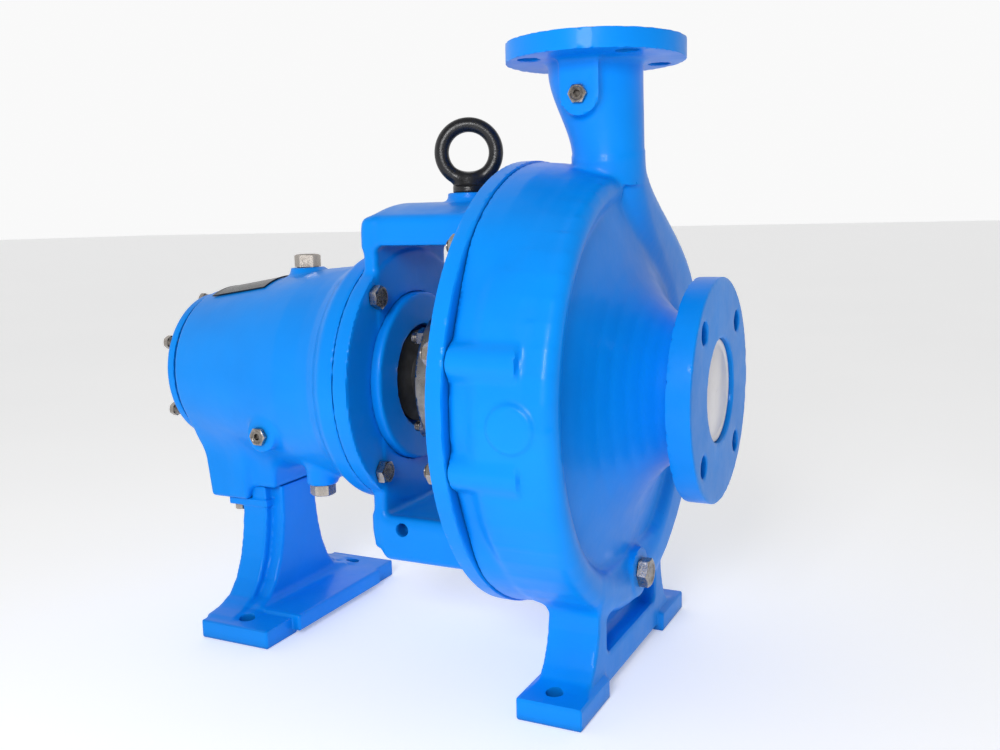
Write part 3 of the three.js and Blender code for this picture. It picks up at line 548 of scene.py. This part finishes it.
def casing_field(x, y, z):
    r = np.hypot(y, z)
    aside = np.abs(y)
    body = casing_shell(x, r)
    passage = blend(casing_duct(x, y, z), neck_field(x, y, z, top_radius=40.2, **NECK), 3)
    body = blend(body, passage, 7)
    # The band flush with the adapter's rim fades out towards both sides.
    climb = np.clip((np.degrees(np.arctan2(np.abs(z), aside)) - 22) / 26, 0, 1)
    climb = climb * climb * (3 - 2 * climb)
    band_r = np.interp(x, BAND_X, BAND_R) - BAND_DROP * (1 - climb)
    band = overlap(r - band_r, np.abs(x + 20) - 29.2, 2.5)
    body = blend(body, np.maximum(band, 150 - r), 2.5)
    # Joint lugs, side bosses and the drain and gauge bosses.
    for height in (41.0, -41.0):
        lug = rod(x, np.hypot(aside - 174.6, z - height), JOINT_X + 0.3, 8, 16.5, 2.5)
        body = blend(body, lug, 4)
    body = np.maximum(body, JOINT_X + 0.3 - x)
    boss = rod(aside, np.hypot(x - 3, z + 4), 150, 192.5, 18.5, 2.4)
    body = blend(body, boss, 3)
    # The foot pads and the legs that carry the casing.
    leg = overlap(leg_outline(aside, z), np.abs(x - CASING_FOOT["x"]) - LEG_HALF, 3)
    pocket = block((x, y, z), (14, -66, FLOOR + 34), (60, 66, -176), 8)
    leg = without(leg, pocket, 4)
    pad = block((x, aside, z), (CASING_FOOT["x"] - CASING_FOOT["half"], CASING_FOOT["inner"], FLOOR),
                (CASING_FOOT["x"] + CASING_FOOT["half"], CASING_FOOT["outer"], LEG_FOOT), 2)
    body = blend(body, blend(leg, pad, 5), 9)
    body = blend(body, rod(x, np.hypot(y, z + 168), 8, 39, 22, 2.2), 4)
    tab = np.hypot(x - 1, np.maximum(246 - z, 0)) - 17.5
    tab = overlap(tab, np.abs(y + 26) - 17, 3)
    tab = overlap(tab, z - 282, 1)
    body = blend(body, tab, 5)
    # Flanges with their machined faces.
    suction = rod(x, r, SUCTION_FACE - SUCTION["thick"], SUCTION_FACE, SUCTION["r"], 1.2)
    body = blend(body, suction, 5)
    across = np.hypot(x, y)
    rim_bottom = DISCHARGE_RISE - DISCHARGE["thick"]
    discharge = rod(z, across, rim_bottom, DISCHARGE_RISE, DISCHARGE["r"], 1.2)
    body = blend(body, discharge, 7)
    # Hollows.
    body = without(body, casing_chamber(x, r))
    body = without(body, water_duct(x, y, z))
    body = without(body, neck_field(x, y, z, top_radius=DISCHARGE["bore"], **WATER))
    body = without(body, rod(z, across, 240, 340, DISCHARGE["bore"]))
    y_hole, z_hole = nearest_copy(y, z, 4, 45)
    from_hole = np.hypot(y_hole - SUCTION["circle"], z_hole)
    body = without(body, rod(x, from_hole, 80, 140, FLANGE_HOLE_R))
    x_hole, y_hole = nearest_copy(x, y, 4, 45)
    from_hole = np.hypot(x_hole - DISCHARGE["circle"], y_hole)
    body = without(body, rod(z, from_hole, 268, 340, FLANGE_HOLE_R))
    foot_hole = np.hypot(x - CASING_FOOT["x"] + 3, aside - CASING_FOOT["hole"])
    return without(body, rod(z, foot_hole, FLOOR - 20, LEG_FOOT + 20, 7.2), 0.8)


def make_casing():
    low, high = node_box("volute_casing")
    piece = cast_piece("volute_casing_cast", casing_field, low - 4, high + 4, 2.6)
    return stand_for(piece, "volute_casing", BLUE)


# ---- Frame adapter ------------------------------------------------------------------------
rim_outline = Outline([
    (RIM_BACK, 150), (RIM_BACK, RIM_R), (JOINT_X, RIM_R), (JOINT_X, 165.4), (-52.3, 165.4), (-52.3, 150),
], 0.9)


def adapter_field(x, y, z):
    r = np.hypot(y, z)
    aside = np.abs(y)
    body = rim_outline(x, r)
    thick = (BRIDGE_OUTER - BRIDGE_INNER) / 2
    barrel = corner_distance(np.abs(r - BRIDGE_INNER - thick) - thick,
                             np.abs(x + 128) - (-58 - BRIDGE_BACK) / 2 - 1, 2)
    bridges = overlap(barrel, aside - BRIDGE_HALF, 7)
    bevel = (r - BRIDGE_OUTER + 6 - (x - BRIDGE_BACK)) / math.sqrt(2)
    bridges = overlap(bridges, bevel, 7)
    lower = block((x, y, z), (-192, -68, -166), (RIM_BACK + 4, 68, -124), 9)
    wall = rod(x, r, WALL_BACK, WALL_FRONT, WALL_R, 2.2)
    web = block((x, y, z), (WALL_BACK + 1, -BRIDGE_HALF, -156), (WALL_FRONT, BRIDGE_HALF, 149), 5)
    wall = blend(wall, web, 4)
    body = blend(body, blend(bridges, lower, 5), 7)
    body = blend(body, wall, 7)
    body = blend(body, rod(z, np.hypot(x - EYE_X, y), 150, 171, 20, 2), 6)
    body = without(body, rod(x, r, WALL_BACK - 20, WALL_FRONT + 8, WALL_BORE), 1.2)
    body = without(body, rod(z, np.hypot(x - EYE_X, y), 145, 190, 8.3), 1)
    tapped = rod(aside, np.hypot(x + 167, z + 134), 53, 90, 6)
    body = without(body, tapped)
    y_hole, z_hole = nearest_copy(y, z, STUD_COUNT, 15)
    stud_line = np.hypot(y_hole - STUD_CIRCLE, z_hole)
    body = without(body, rod(x, stud_line, -90, -30, 6.6), 1)
    facing = rod(x, stud_line, RIM_BACK - 18, RIM_BACK, 13.5, 1)
    return without(body, facing, 1)


def make_adapter():
    low, high = node_box("frame_adapter")
    piece = cast_piece("frame_adapter_cast", adapter_field, low - 3, high + 3, 2.3)
    return stand_for(piece, "frame_adapter", BLUE)


# ---- Bearing frame and thrust bearing housing ---------------------------------------------
frame_outline = Outline([
    (-420, -30), (-420, 75), (-417, 79.5), (-280, 102), (-252, 104.3), (-238, 106.5), (-228, 111),
    (-221, 117), (-216, WALL_R), (WALL_BACK - 0.3, WALL_R), (WALL_BACK - 0.3, WALL_BORE - 0.3),
    (NOSE_FRONT - 2, WALL_BORE - 0.3), (NOSE_FRONT, WALL_BORE - 2.3), (NOSE_FRONT, -30),
], 1.0)
frame_hollow = Outline([
    (-150, -30), (-150, NOSE_BORE), (-192, NOSE_BORE), (-192, 38.3), (-220.5, 38.3), (-220.5, 46),
    (-224.5, 46), (-224.5, 50.3), (-256, 50.3), (-256, 74), (-266, 88), (-335, 82), (-345, 62.3),
    (-450, 62.3), (-450, -30),
], 0.5)


def frame_field(x, y, z):
    r = np.hypot(y, z)
    body = frame_outline(x, r)
    flare = np.minimum((z - SUPPORT["bottom"]) * 0.13, 8.5)
    support = block((x + flare * (x < -388), y, z), (SUPPORT["back"], -46, SUPPORT["bottom"]),
                    (SUPPORT["step"], 46, -30), 4)
    shelf = block((x, y, z), (-380, -40, SUPPORT["shelf"]), (SUPPORT["front"], 40, -60), 4)
    body = blend(body, blend(support, shelf, 12), 24)
    filler = rod(z, np.hypot(x + 308, y), 80, 103, 17, 2)
    level = rod(-y, np.hypot(x + 305, z + 51), 55, 92, 16, 2.5)
    drain = rod(-z, np.hypot(x + 269, y + 46), 60, 104, 15, 2)
    for boss in (filler, level, drain):
        body = blend(body, boss, 8)
    body = without(body, frame_hollow(x, r), 1)
    from_bolt = np.hypot(np.abs(y) - FRAME_BOLT_R * math.cos(FRAME_BOLT_ANGLE),
                         np.abs(z) - FRAME_BOLT_R * math.sin(FRAME_BOLT_ANGLE))
    return without(body, rod(x, from_bolt, WALL_BACK - 12, WALL_BACK + 9, 6.3), 0.5)


def make_frame():
    low, high = node_box("bearing_frame")
    piece = cast_piece("bearing_frame_cast", frame_field, low - 3, high + 3, 2.2)
    return stand_for(piece, "bearing_frame", BLUE)


housing_outline = Outline([
    (-350, 50.3), (-350, 60.5), (-351.5, 62), (-422.5, 62), (-422.5, 76), (-430, 76), (-434, 72),
    (-434, 33), (-410, 33), (-410, 40), (-395, 40), (-395, 50.3),
], 0.7)


def housing_field(x, y, z):
    body = housing_outline(x, np.hypot(y, z))
    y_hole, z_hole = nearest_copy(y, z, 6, CARRIER["capAngle"])
    from_hole = np.hypot(y_hole - CARRIER["boltR"], z_hole)
    hole = rod(x, from_hole, CARRIER["back"] - 9, CARRIER["front"] + 9, 4.4)
    return without(body, hole, 0.8)


def make_housing():
    low, high = node_box("thrust_bearing_housing")
    piece = cast_piece("thrust_bearing_housing_cast", housing_field, low - 3, high + 3, 1.6)
    return stand_for(piece, "thrust_bearing_housing", BLUE)


# ---- Frame foot ---------------------------------------------------------------------------
BASE_TOP = FLOOR + FRAME_FOOT["thick"]
PLATE_TOP = SUPPORT["bottom"] - 0.3
SHELF_TOP = SUPPORT["shelf"] - 0.3
column_outline = Outline([
    (-30, FLOOR + 6), (102, FLOOR + 6), (98, BASE_TOP - 1), (84, BASE_TOP + 2), (68, BASE_TOP + 10),
    (56, BASE_TOP + 24), (47, BASE_TOP + 44), (41.5, BASE_TOP + 66), (38.5, BASE_TOP + 88),
    (38, SHELF_TOP), (-30, SHELF_TOP),
], 0.8)


def foot_field(x, y, z):
    aside = np.abs(y)
    stem = overlap(column_outline(aside, z), np.abs(x + 362) - 15, 3)
    web = overlap(column_outline(aside + 10, z), np.abs(x + 347) - 14, 4)
    stem = blend(stem, web, 3)
    above_plate = block((x, y, z), (-400, -80, PLATE_TOP), (SUPPORT["step"] + 0.3, 80, -90), 0.1)
    stem = without(stem, above_plate, 0.5)
    front, back = FRAME_FOOT["x"] + FRAME_FOOT["half"], FRAME_FOOT["x"] - FRAME_FOOT["half"]
    pads = block((x, aside, z), (back, 66, FLOOR), (front, FRAME_FOOT["outer"], BASE_TOP), 2)
    middle = block((x, y, z), (back, -73, FLOOR + 5), (front + 9, 73, BASE_TOP + 3), 2)
    plate = block((x, y, z), (-393, -40, PLATE_TOP - 8), (-345, 40, PLATE_TOP), 1.5)
    body = blend(blend(pads, middle, 1.5), stem, 10)
    body = blend(body, plate, 2)
    bolt_low, bolt_high = node_box("frame_foot_bolt_2")
    bolt_x, bolt_y = (bolt_low[0] + bolt_high[0]) / 2, (bolt_low[1] + bolt_high[1]) / 2
    from_hole = np.hypot(x - FRAME_FOOT["x"], aside - FRAME_FOOT["hole"])
    body = without(body, rod(z, from_hole, FLOOR - 20, BASE_TOP + 20, 7.4), 0.6)
    return without(body, rod(z, np.hypot(x - bolt_x, aside - bolt_y), -160, -120, 4.6), 0.8)


def make_foot():
    low, high = node_box("frame_foot")
    piece = cast_piece("frame_foot_cast", foot_field, low - 3, high + 3, 1.9)
    return stand_for(piece, "frame_foot", BLUE)


# ---- Gland, shaft and lifting eye ---------------------------------------------------------
gland_outline = Outline([
    (-147, 27), (-147, 69.5), (-145.5, 71), (-133.3, 71), (-133.3, 45.6), (-128, 45.6), (-128, 39),
    (-140, 39), (-140, 27),
], 0.4)


def gland_field(x, y, z):
    body = gland_outline(x, np.hypot(y, z))
    y_hole, z_hole = nearest_copy(y, z, 4, 45)
    return without(body, rod(x, np.hypot(y_hole - 58, z_hole), -170, -120, 5.6), 0.8)


def make_gland():
    low, high = node_box("seal_gland")
    piece = cast_piece("seal_gland_plate", gland_field, low - 2, high + 2, 1.4)
    return stand_for(piece, "seal_gland", TURNED_STEEL)


shaft_outline = Outline([
    (-487, -30), (-487, 13), (-485.7, 14.3), (-437, 14.3), (-437, 19), (-436.5, 19.5), (-404, 19.5),
    (-404, 22.2), (-354, 22.2), (-354, 27), (-252, 27), (-252, 22.2), (-226, 22.2), (-226, 21.5),
    (-200, 21.5), (-200, 19), (-34, 19), (-34, 14.3), (-1, 14.3), (-1, -30),
], 0.2)


def shaft_field(x, y, z):
    body = shaft_outline(x, np.hypot(y, z))
    low, high = node_box("coupling_key")
    seat = block((x, y, z), low - 0.3, (high[0] + 0.3, high[1] + 0.3, 40), 0.3)
    centre = np.hypot(y, z)
    drilled = rod(x, centre, -520, -479, 3.2, 0.3)
    body = without(body, seat, 0.3)
    return without(body, drilled, 1.2)


def make_shaft():
    low, high = node_box("pump_shaft")
    piece = cast_piece("pump_shaft_turned", shaft_field, low - 2, high + 2, 1.3)
    return stand_for(piece, "pump_shaft", TURNED_STEEL)


def make_key():
    low, high = node_box("coupling_key")
    middle, half = (low + high) / 2, (high - low) / 2

    def field(x, y, z):
        round_end = half[0] - half[1]
        flat = np.hypot(np.maximum(np.abs(x - middle[0]) - round_end, 0), y) - half[1]
        return corner_distance(flat, np.abs(z - middle[2]) - half[2], 0.4)

    piece = cast_piece("coupling_key_steel", field, low - 1, high + 1, 0.6)
    return stand_for(piece, "coupling_key", TURNED_STEEL)


def make_eye():
    low, high = node_box("lifting_eye")
    ring_r, wire = 24.7, 6.6
    centre_z = high[2] - ring_r - wire
    turn = math.radians(25)

    def field(x, y, z):
        x = x - EYE_X
        across = x * math.cos(turn) + y * math.sin(turn)
        level = y * math.cos(turn) - x * math.sin(turn)
        ring = np.hypot(np.hypot(across, z - centre_z) - ring_r, level) - wire
        stem = np.hypot(x, y) - np.interp(z, (171, 176, 183, 190), (14.5, 12.5, 8.5, 5.5))
        stem = overlap(stem, np.abs(z - 179) - 7.5, 1.5)
        body = blend(ring, stem, 9)
        collar = rod(z, np.hypot(x, y), 171.3, 177, 15, 1.4)
        shank = rod(z, np.hypot(x, y), 152, 175, 8, 0.8)
        return blend(blend(body, collar, 2), shank, 1)

    piece = cast_piece("lifting_eye_forged", field, low - 2, high + 2, 1.0, 50.0)
    return stand_for(piece, "lifting_eye", BLACK)


# ---- Turned pieces and fasteners ----------------------------------------------------------
AXES = {"x": Matrix.Identity(3), "y": Matrix.Rotation(math.pi / 2, 3, "Z"),
        "z": Matrix.Rotation(-math.pi / 2, 3, "Y")}


def ring_surface(rings, sides, closed=False):
    """Vertices and faces from rings of (along, radius by angle). The ends are capped, or the last
    ring joins the first."""
    angles = 2 * np.pi * np.arange(sides) / sides
    vertices = []
    for along, radius in rings:
        r = radius(angles) if callable(radius) else np.full(sides, float(radius))
        height = along(angles) if callable(along) else np.full(sides, float(along))
        vertices.append(np.stack([height, r * np.cos(angles), r * np.sin(angles)], 1))
    faces = []
    count = len(rings)
    for i in range(count if closed else count - 1):
        a, b = i * sides, (i + 1) % count * sides
        faces += [(a + j, a + (j + 1) % sides, b + (j + 1) % sides, b + j) for j in range(sides)]
    if not closed:
        faces.append(tuple(reversed(range(sides))))
        faces.append(tuple((count - 1) * sides + j for j in range(sides)))
    return np.concatenate(vertices), faces


def hexagon(angles, across_flats):
    return across_flats / 2 / np.cos((angles % (math.pi / 3)) - math.pi / 6)


def head_rings(seat, height, corner_r, washer=0.6):
    """A hexagon head with a washer face below and a chamfered top. The head points along +x."""
    flats = corner_r * math.cos(math.pi / 6) * 2
    crown = flats / 2 * 0.94

    def six_sides(angles):
        return hexagon(angles, flats)

    def top_edge(angles):
        return seat + height - 0.58 * np.maximum(hexagon(angles, flats) - crown, 0)

    return [
        (seat, flats / 2 * 0.97), (seat + washer, flats / 2 * 0.97),
        (seat + washer, six_sides),
        (top_edge, six_sides),
        (seat + height, crown), (seat + height, crown * 0.82), (seat + height - 0.35, crown * 0.76),
    ]


def thread_rings(start, end, r, pitch):
    """Ridges of a screw thread from start to end."""
    rings = []
    turns = max(2, int(abs(end - start) / pitch))
    for i in range(turns):
        at = start + (end - start) * i / turns
        rings += [(at, r), (at + (end - start) / turns * 0.5, r * 0.9)]
    rings.append((end, r * 0.93))
    return rings


def fastener(name, node, axis, out, seat, kind, material):
    """Builds a screw, plug or stud with nut, pointing out along its axis from the seat plane."""
    depth, shank = kind["depth"], kind["shank"]
    rings = [(-depth, shank * 0.85), (-depth + 0.8, shank)]
    rings += head_rings(0.3, kind["head_h"], kind["head_r"])
    if "stud" in kind:
        top = 0.3 + kind["head_h"]
        rings += [(top - 0.35, shank * 0.98)]
        rings += thread_rings(top, kind["stud"] - 1.0, shank, 1.6)
        rings += [(kind["stud"], shank * 0.72)]
    elif "socket" in kind:
        top = 0.3 + kind["head_h"] - 0.35
        rings += [(top, kind["socket"]), (top - 2.2, kind["socket"])]
    vertices, faces = ring_surface(rings, 48)
    low, high = node_box(node)
    centre = (low + high) / 2
    turn = Matrix.Rotation(math.radians(kind.get("spin", 0.0)), 3, "X")
    facing = Matrix.Identity(3) if out > 0 else Matrix.Rotation(math.pi, 3, "Z")
    if axis == "z" and out < 0:
        facing = Matrix.Rotation(math.pi, 3, "Y")
    matrix = np.array(AXES[axis] @ facing @ turn)
    place = centre.copy()
    place["xyz".index(axis)] = seat
    if np.linalg.det(matrix) < 0:
        faces = [tuple(reversed(face)) for face in faces]
    piece = new_piece(name, vertices @ matrix.T + place, faces, 30.0)
    return stand_for(piece, node, material)


def make_fasteners():
    """Each fastener's seat is a known distance in from its CAD solid's outer end."""
    kinds = [
        ("casing_stud_", 12, "x", -1, 14.0,
         {"head_r": 10, "head_h": 9.7, "shank": 6, "depth": 44.5, "stud": 14.0}),
        ("gland_stud_", 4, "x", -1, 17.0,
         {"head_r": 9.5, "head_h": 8.7, "shank": 5, "depth": 28.5, "stud": 17.0}),
        ("frame_bolt_", 4, "x", 1, 8.3, {"head_r": 11, "head_h": 8, "shank": 6, "depth": 25.5}),
        ("carrier_cap_screw_", 3, "x", -1, 6.3, {"head_r": 7, "head_h": 6, "shank": 4, "depth": 27.5}),
        ("carrier_jack_screw_", 3, "x", -1, 6.3, {"head_r": 7, "head_h": 6, "shank": 4, "depth": 15.5}),
        ("frame_foot_bolt_", 2, "z", -1, 6.3, {"head_r": 7.5, "head_h": 6, "shank": 4, "depth": 21.5}),
    ]
    singles = [
        ("casing_drain_plug", "x", 1, 10.3, {"head_r": 13.5, "head_h": 10, "shank": 8, "depth": 14.5}),
        ("discharge_gauge_plug", "y", -1, 4.3,
         {"head_r": 8.2, "head_h": 4, "shank": 6, "depth": 13.5, "socket": 3.0}),
        ("oil_filler_plug", "z", 1, 13.3, {"head_r": 13, "head_h": 13, "shank": 7, "depth": 11.5}),
        ("oil_level_plug", "y", -1, 5.3,
         {"head_r": 9, "head_h": 5, "shank": 6, "depth": 11.5, "socket": 3.2}),
        ("oil_drain_plug", "z", -1, 11.3, {"head_r": 12.5, "head_h": 11, "shank": 6, "depth": 11.5}),
    ]
    entries = []
    for stem, count, axis, out, inset, kind in kinds:
        for i in range(1, count + 1):
            entries.append((f"{stem}{i}", axis, out, inset, {**kind, "spin": 17.0 * i}))
    entries += singles
    for node, axis, out, inset, kind in entries:
        low, high = node_box(node)
        at = "xyz".index(axis)
        seat = high[at] - inset if out > 0 else low[at] + inset
        fastener(f"{node}_steel", node, axis, out, seat, kind, FASTENER)


def turned_piece(name, node, profile, material, bevel=0.4, sides=96):
    """A closed profile of (x, radius) turned about the shaft, with small bevels on its corners."""
    vertices, faces = ring_surface(profile, sides, closed=True)
    piece = new_piece(name, vertices, faces, 35.0)
    soft = piece.modifiers.new("bevel", "BEVEL")
    soft.width = bevel * MM
    soft.segments = 2
    soft.limit_method = "ANGLE"
    soft.angle_limit = math.radians(35)
    return stand_for(piece, node, material)


def make_turned_pieces():
    sleeve_low, sleeve_high = node_box("shaft_sleeve")
    turned_piece("shaft_sleeve_ground", "shaft_sleeve", [
        (sleeve_low[0], 19.3), (sleeve_high[0], 19.3), (sleeve_high[0], 24), (sleeve_low[0] + 4, 24),
        (sleeve_low[0] + 3.2, 23.2), (sleeve_low[0], 23.2)], POLISHED)
    turned_piece("slinger_ring_rubber", "slinger_ring", [
        (-186, 19.3), (-173, 19.3), (-173, 26), (-176, 26), (-178.5, 30), (-180.5, 36), (-182, 44),
        (-186, 44)], RUBBER)
    turned_piece("seal_chamber_cover_cast", "seal_chamber_cover", [
        (-31, 62), (-54, 46), (-133, 46), (-133, 72), (-120, 72), (-119, 64), (-60, 64), (-56, 67),
        (-47, 82), (-45, 90), (-45, 141), (-52, 149), (-52, 165), (-34, 165), (-34, 157), (-31, 157)],
        IRON, 0.8, 120)
    turned_piece("outboard_oil_seal_moulded", "outboard_oil_seal", [
        (-432, 24.5), (-429, 21), (-427, 20.2), (-413, 20.2), (-413, 32.7), (-432, 32.7),
        (-432, 29.5), (-430.5, 29), (-430.5, 25.5)], RUBBER, 0.25)
    cap = [(106, 0.6), (106, 36), (105.2, 37.5), (105.2, 39), (106, 40.5), (106, 43.6), (92, 43.6),
           (92, 40), (101, 40), (101, 0.6)]
    turned_piece("suction_port_cap_moulded", "suction_port_cap", list(reversed(cap)), WHITE, 0.5)


def make_nameplate():
    """A thin blank plate bent round the frame, with a raised border."""
    low, high = node_box("frame_nameplate")
    x0, x1 = low[0], high[0]
    rear_x, rear_r = -420.0, 80.0
    slope = (102.0 - rear_r) / 140.0
    middle = math.radians(100)
    half_angle = 0.262
    border, raised = 2.2, 0.45
    columns, rows = 48, 40
    vertices, faces = [], []
    for lift, rim_lift in ((1.0, raised), (0.32, 0.0)):
        for i in range(columns + 1):
            for j in range(rows + 1):
                s, t = i / columns * 2 - 1, j / rows * 2 - 1
                x = (x0 + x1) / 2 + s * (x1 - x0) / 2
                angle = middle + t * half_angle
                edge = min((1 - abs(s)) * (x1 - x0) / 2, (1 - abs(t)) * half_angle * 90)
                r = rear_r + slope * (x - rear_x) + lift + rim_lift * (edge < border)
                vertices.append((x, r * math.cos(angle), r * math.sin(angle)))
    layer = (columns + 1) * (rows + 1)

    def at(i, j):
        return i * (rows + 1) + j

    for i in range(columns):
        for j in range(rows):
            quad = (at(i, j), at(i, j + 1), at(i + 1, j + 1), at(i + 1, j))
            faces.append(tuple(reversed(quad)))
            faces.append(tuple(layer + k for k in quad))
    rim = ([at(i, 0) for i in range(columns)] + [at(columns, j) for j in range(rows)]
           + [at(i, rows) for i in range(columns, 0, -1)] + [at(0, j) for j in range(rows, 0, -1)])
    for a, b in zip(rim, rim[1:] + rim[:1]):
        faces.append((a, b, layer + b, layer + a))
    piece = new_piece("frame_nameplate_blank", vertices, faces, 30.0)
    return stand_for(piece, "frame_nameplate", PLATE)


make_casing()
make_adapter()
make_frame()
make_housing()
make_foot()
make_gland()
make_shaft()
make_key()
make_eye()
make_fasteners()
make_turned_pieces()
make_nameplate()


# ---- Stage, light and camera --------------------------------------------------------------
def make_floor():
    size = 40.0
    mesh = bpy.data.meshes.new("floor")
    mesh.from_pydata([(-size, -size, 0), (size, -size, 0), (size, size, 0), (-size, size, 0)], [],
                     [(0, 1, 2, 3)])
    floor = bpy.data.objects.new("floor", mesh)
    bpy.context.scene.collection.objects.link(floor)
    pale = Finish("floor_pale")
    shade = pale.ramp(pale.noise(1.5, 2.0), (0.3, (0.93, 0.93, 0.935)), (0.7, (0.96, 0.96, 0.96)))
    mesh.materials.append(pale.set(Base_Color=shade, Roughness=0.8, Emission_Color=(1.0, 1.0, 1.0),
                                   Emission_Strength=0.3))


def make_light(name, at, aim, size, power):
    data = bpy.data.lights.new(name, "AREA")
    data.shape = "RECTANGLE"
    data.size, data.size_y = size
    data.energy = power
    lamp = bpy.data.objects.new(name, data)
    lamp.visible_camera = False
    lamp.location = at
    lamp.rotation_euler = (Vector(aim) - Vector(at)).to_track_quat("-Z", "Y").to_euler()
    bpy.context.scene.collection.objects.link(lamp)


def make_camera():
    """Eye point in the pump's frame and direction of view; the roll is a slight tilt to the left."""
    azimuth, pitch, roll = math.radians(26.03), math.radians(8.62), math.radians(-1.26)
    back = Vector((math.sin(azimuth) * math.cos(pitch), -math.cos(azimuth) * math.cos(pitch),
                   math.sin(pitch)))
    right = Vector((0, 0, 1)).cross(back).normalized()
    up = back.cross(right)
    level_right = right * math.cos(roll) + up * math.sin(roll)
    level_up = up * math.cos(roll) - right * math.sin(roll)
    data = bpy.data.cameras.new("camera")
    data.sensor_width = 36.0
    data.lens = 36.80
    data.clip_start = 0.05
    camera = bpy.data.objects.new("camera", data)
    rotation = Matrix((level_right, level_up, back)).transposed()
    camera.matrix_world = Matrix.Translation(
        Vector((314.89 + DATUM[0], -842.21, 399.76)) * MM) @ rotation.to_4x4()
    bpy.context.scene.collection.objects.link(camera)
    bpy.context.scene.camera = camera


def make_studio():
    """White all round, but shaded overhead, in front and on the suction side, where the key light
    gives the shape its contrast."""
    shaded_side = (0.5, -0.5, 0.7)
    world = bpy.data.worlds.new("studio")
    bpy.context.scene.world = world
    world.use_nodes = True
    tree = world.node_tree
    place = tree.nodes.new("ShaderNodeTexCoord")
    turned = tree.nodes.new("ShaderNodeVectorMath")
    turned.operation = "DOT_PRODUCT"
    turned.inputs[1].default_value = shaded_side
    ramp = tree.nodes.new("ShaderNodeValToRGB")
    shades = ((0.0, 0.95), (0.5, 0.3))
    for element, (at, level) in zip(ramp.color_ramp.elements, shades):
        element.position = at
        element.color = (level, level, level, 1)
    tree.links.new(place.outputs["Generated"], turned.inputs[0])
    tree.links.new(turned.outputs["Value"], ramp.inputs["Fac"])
    tree.links.new(ramp.outputs["Color"], tree.nodes["Background"].inputs["Color"])
    tree.nodes["Background"].inputs["Strength"].default_value = 1.0
    bpy.context.scene.view_settings.view_transform = "Standard"


make_floor()
make_light("key", (0.36, -1.3, 0.8), (0.12, 0, 0.26), (0.42, 0.42), 11.5)
make_camera()
make_studio()
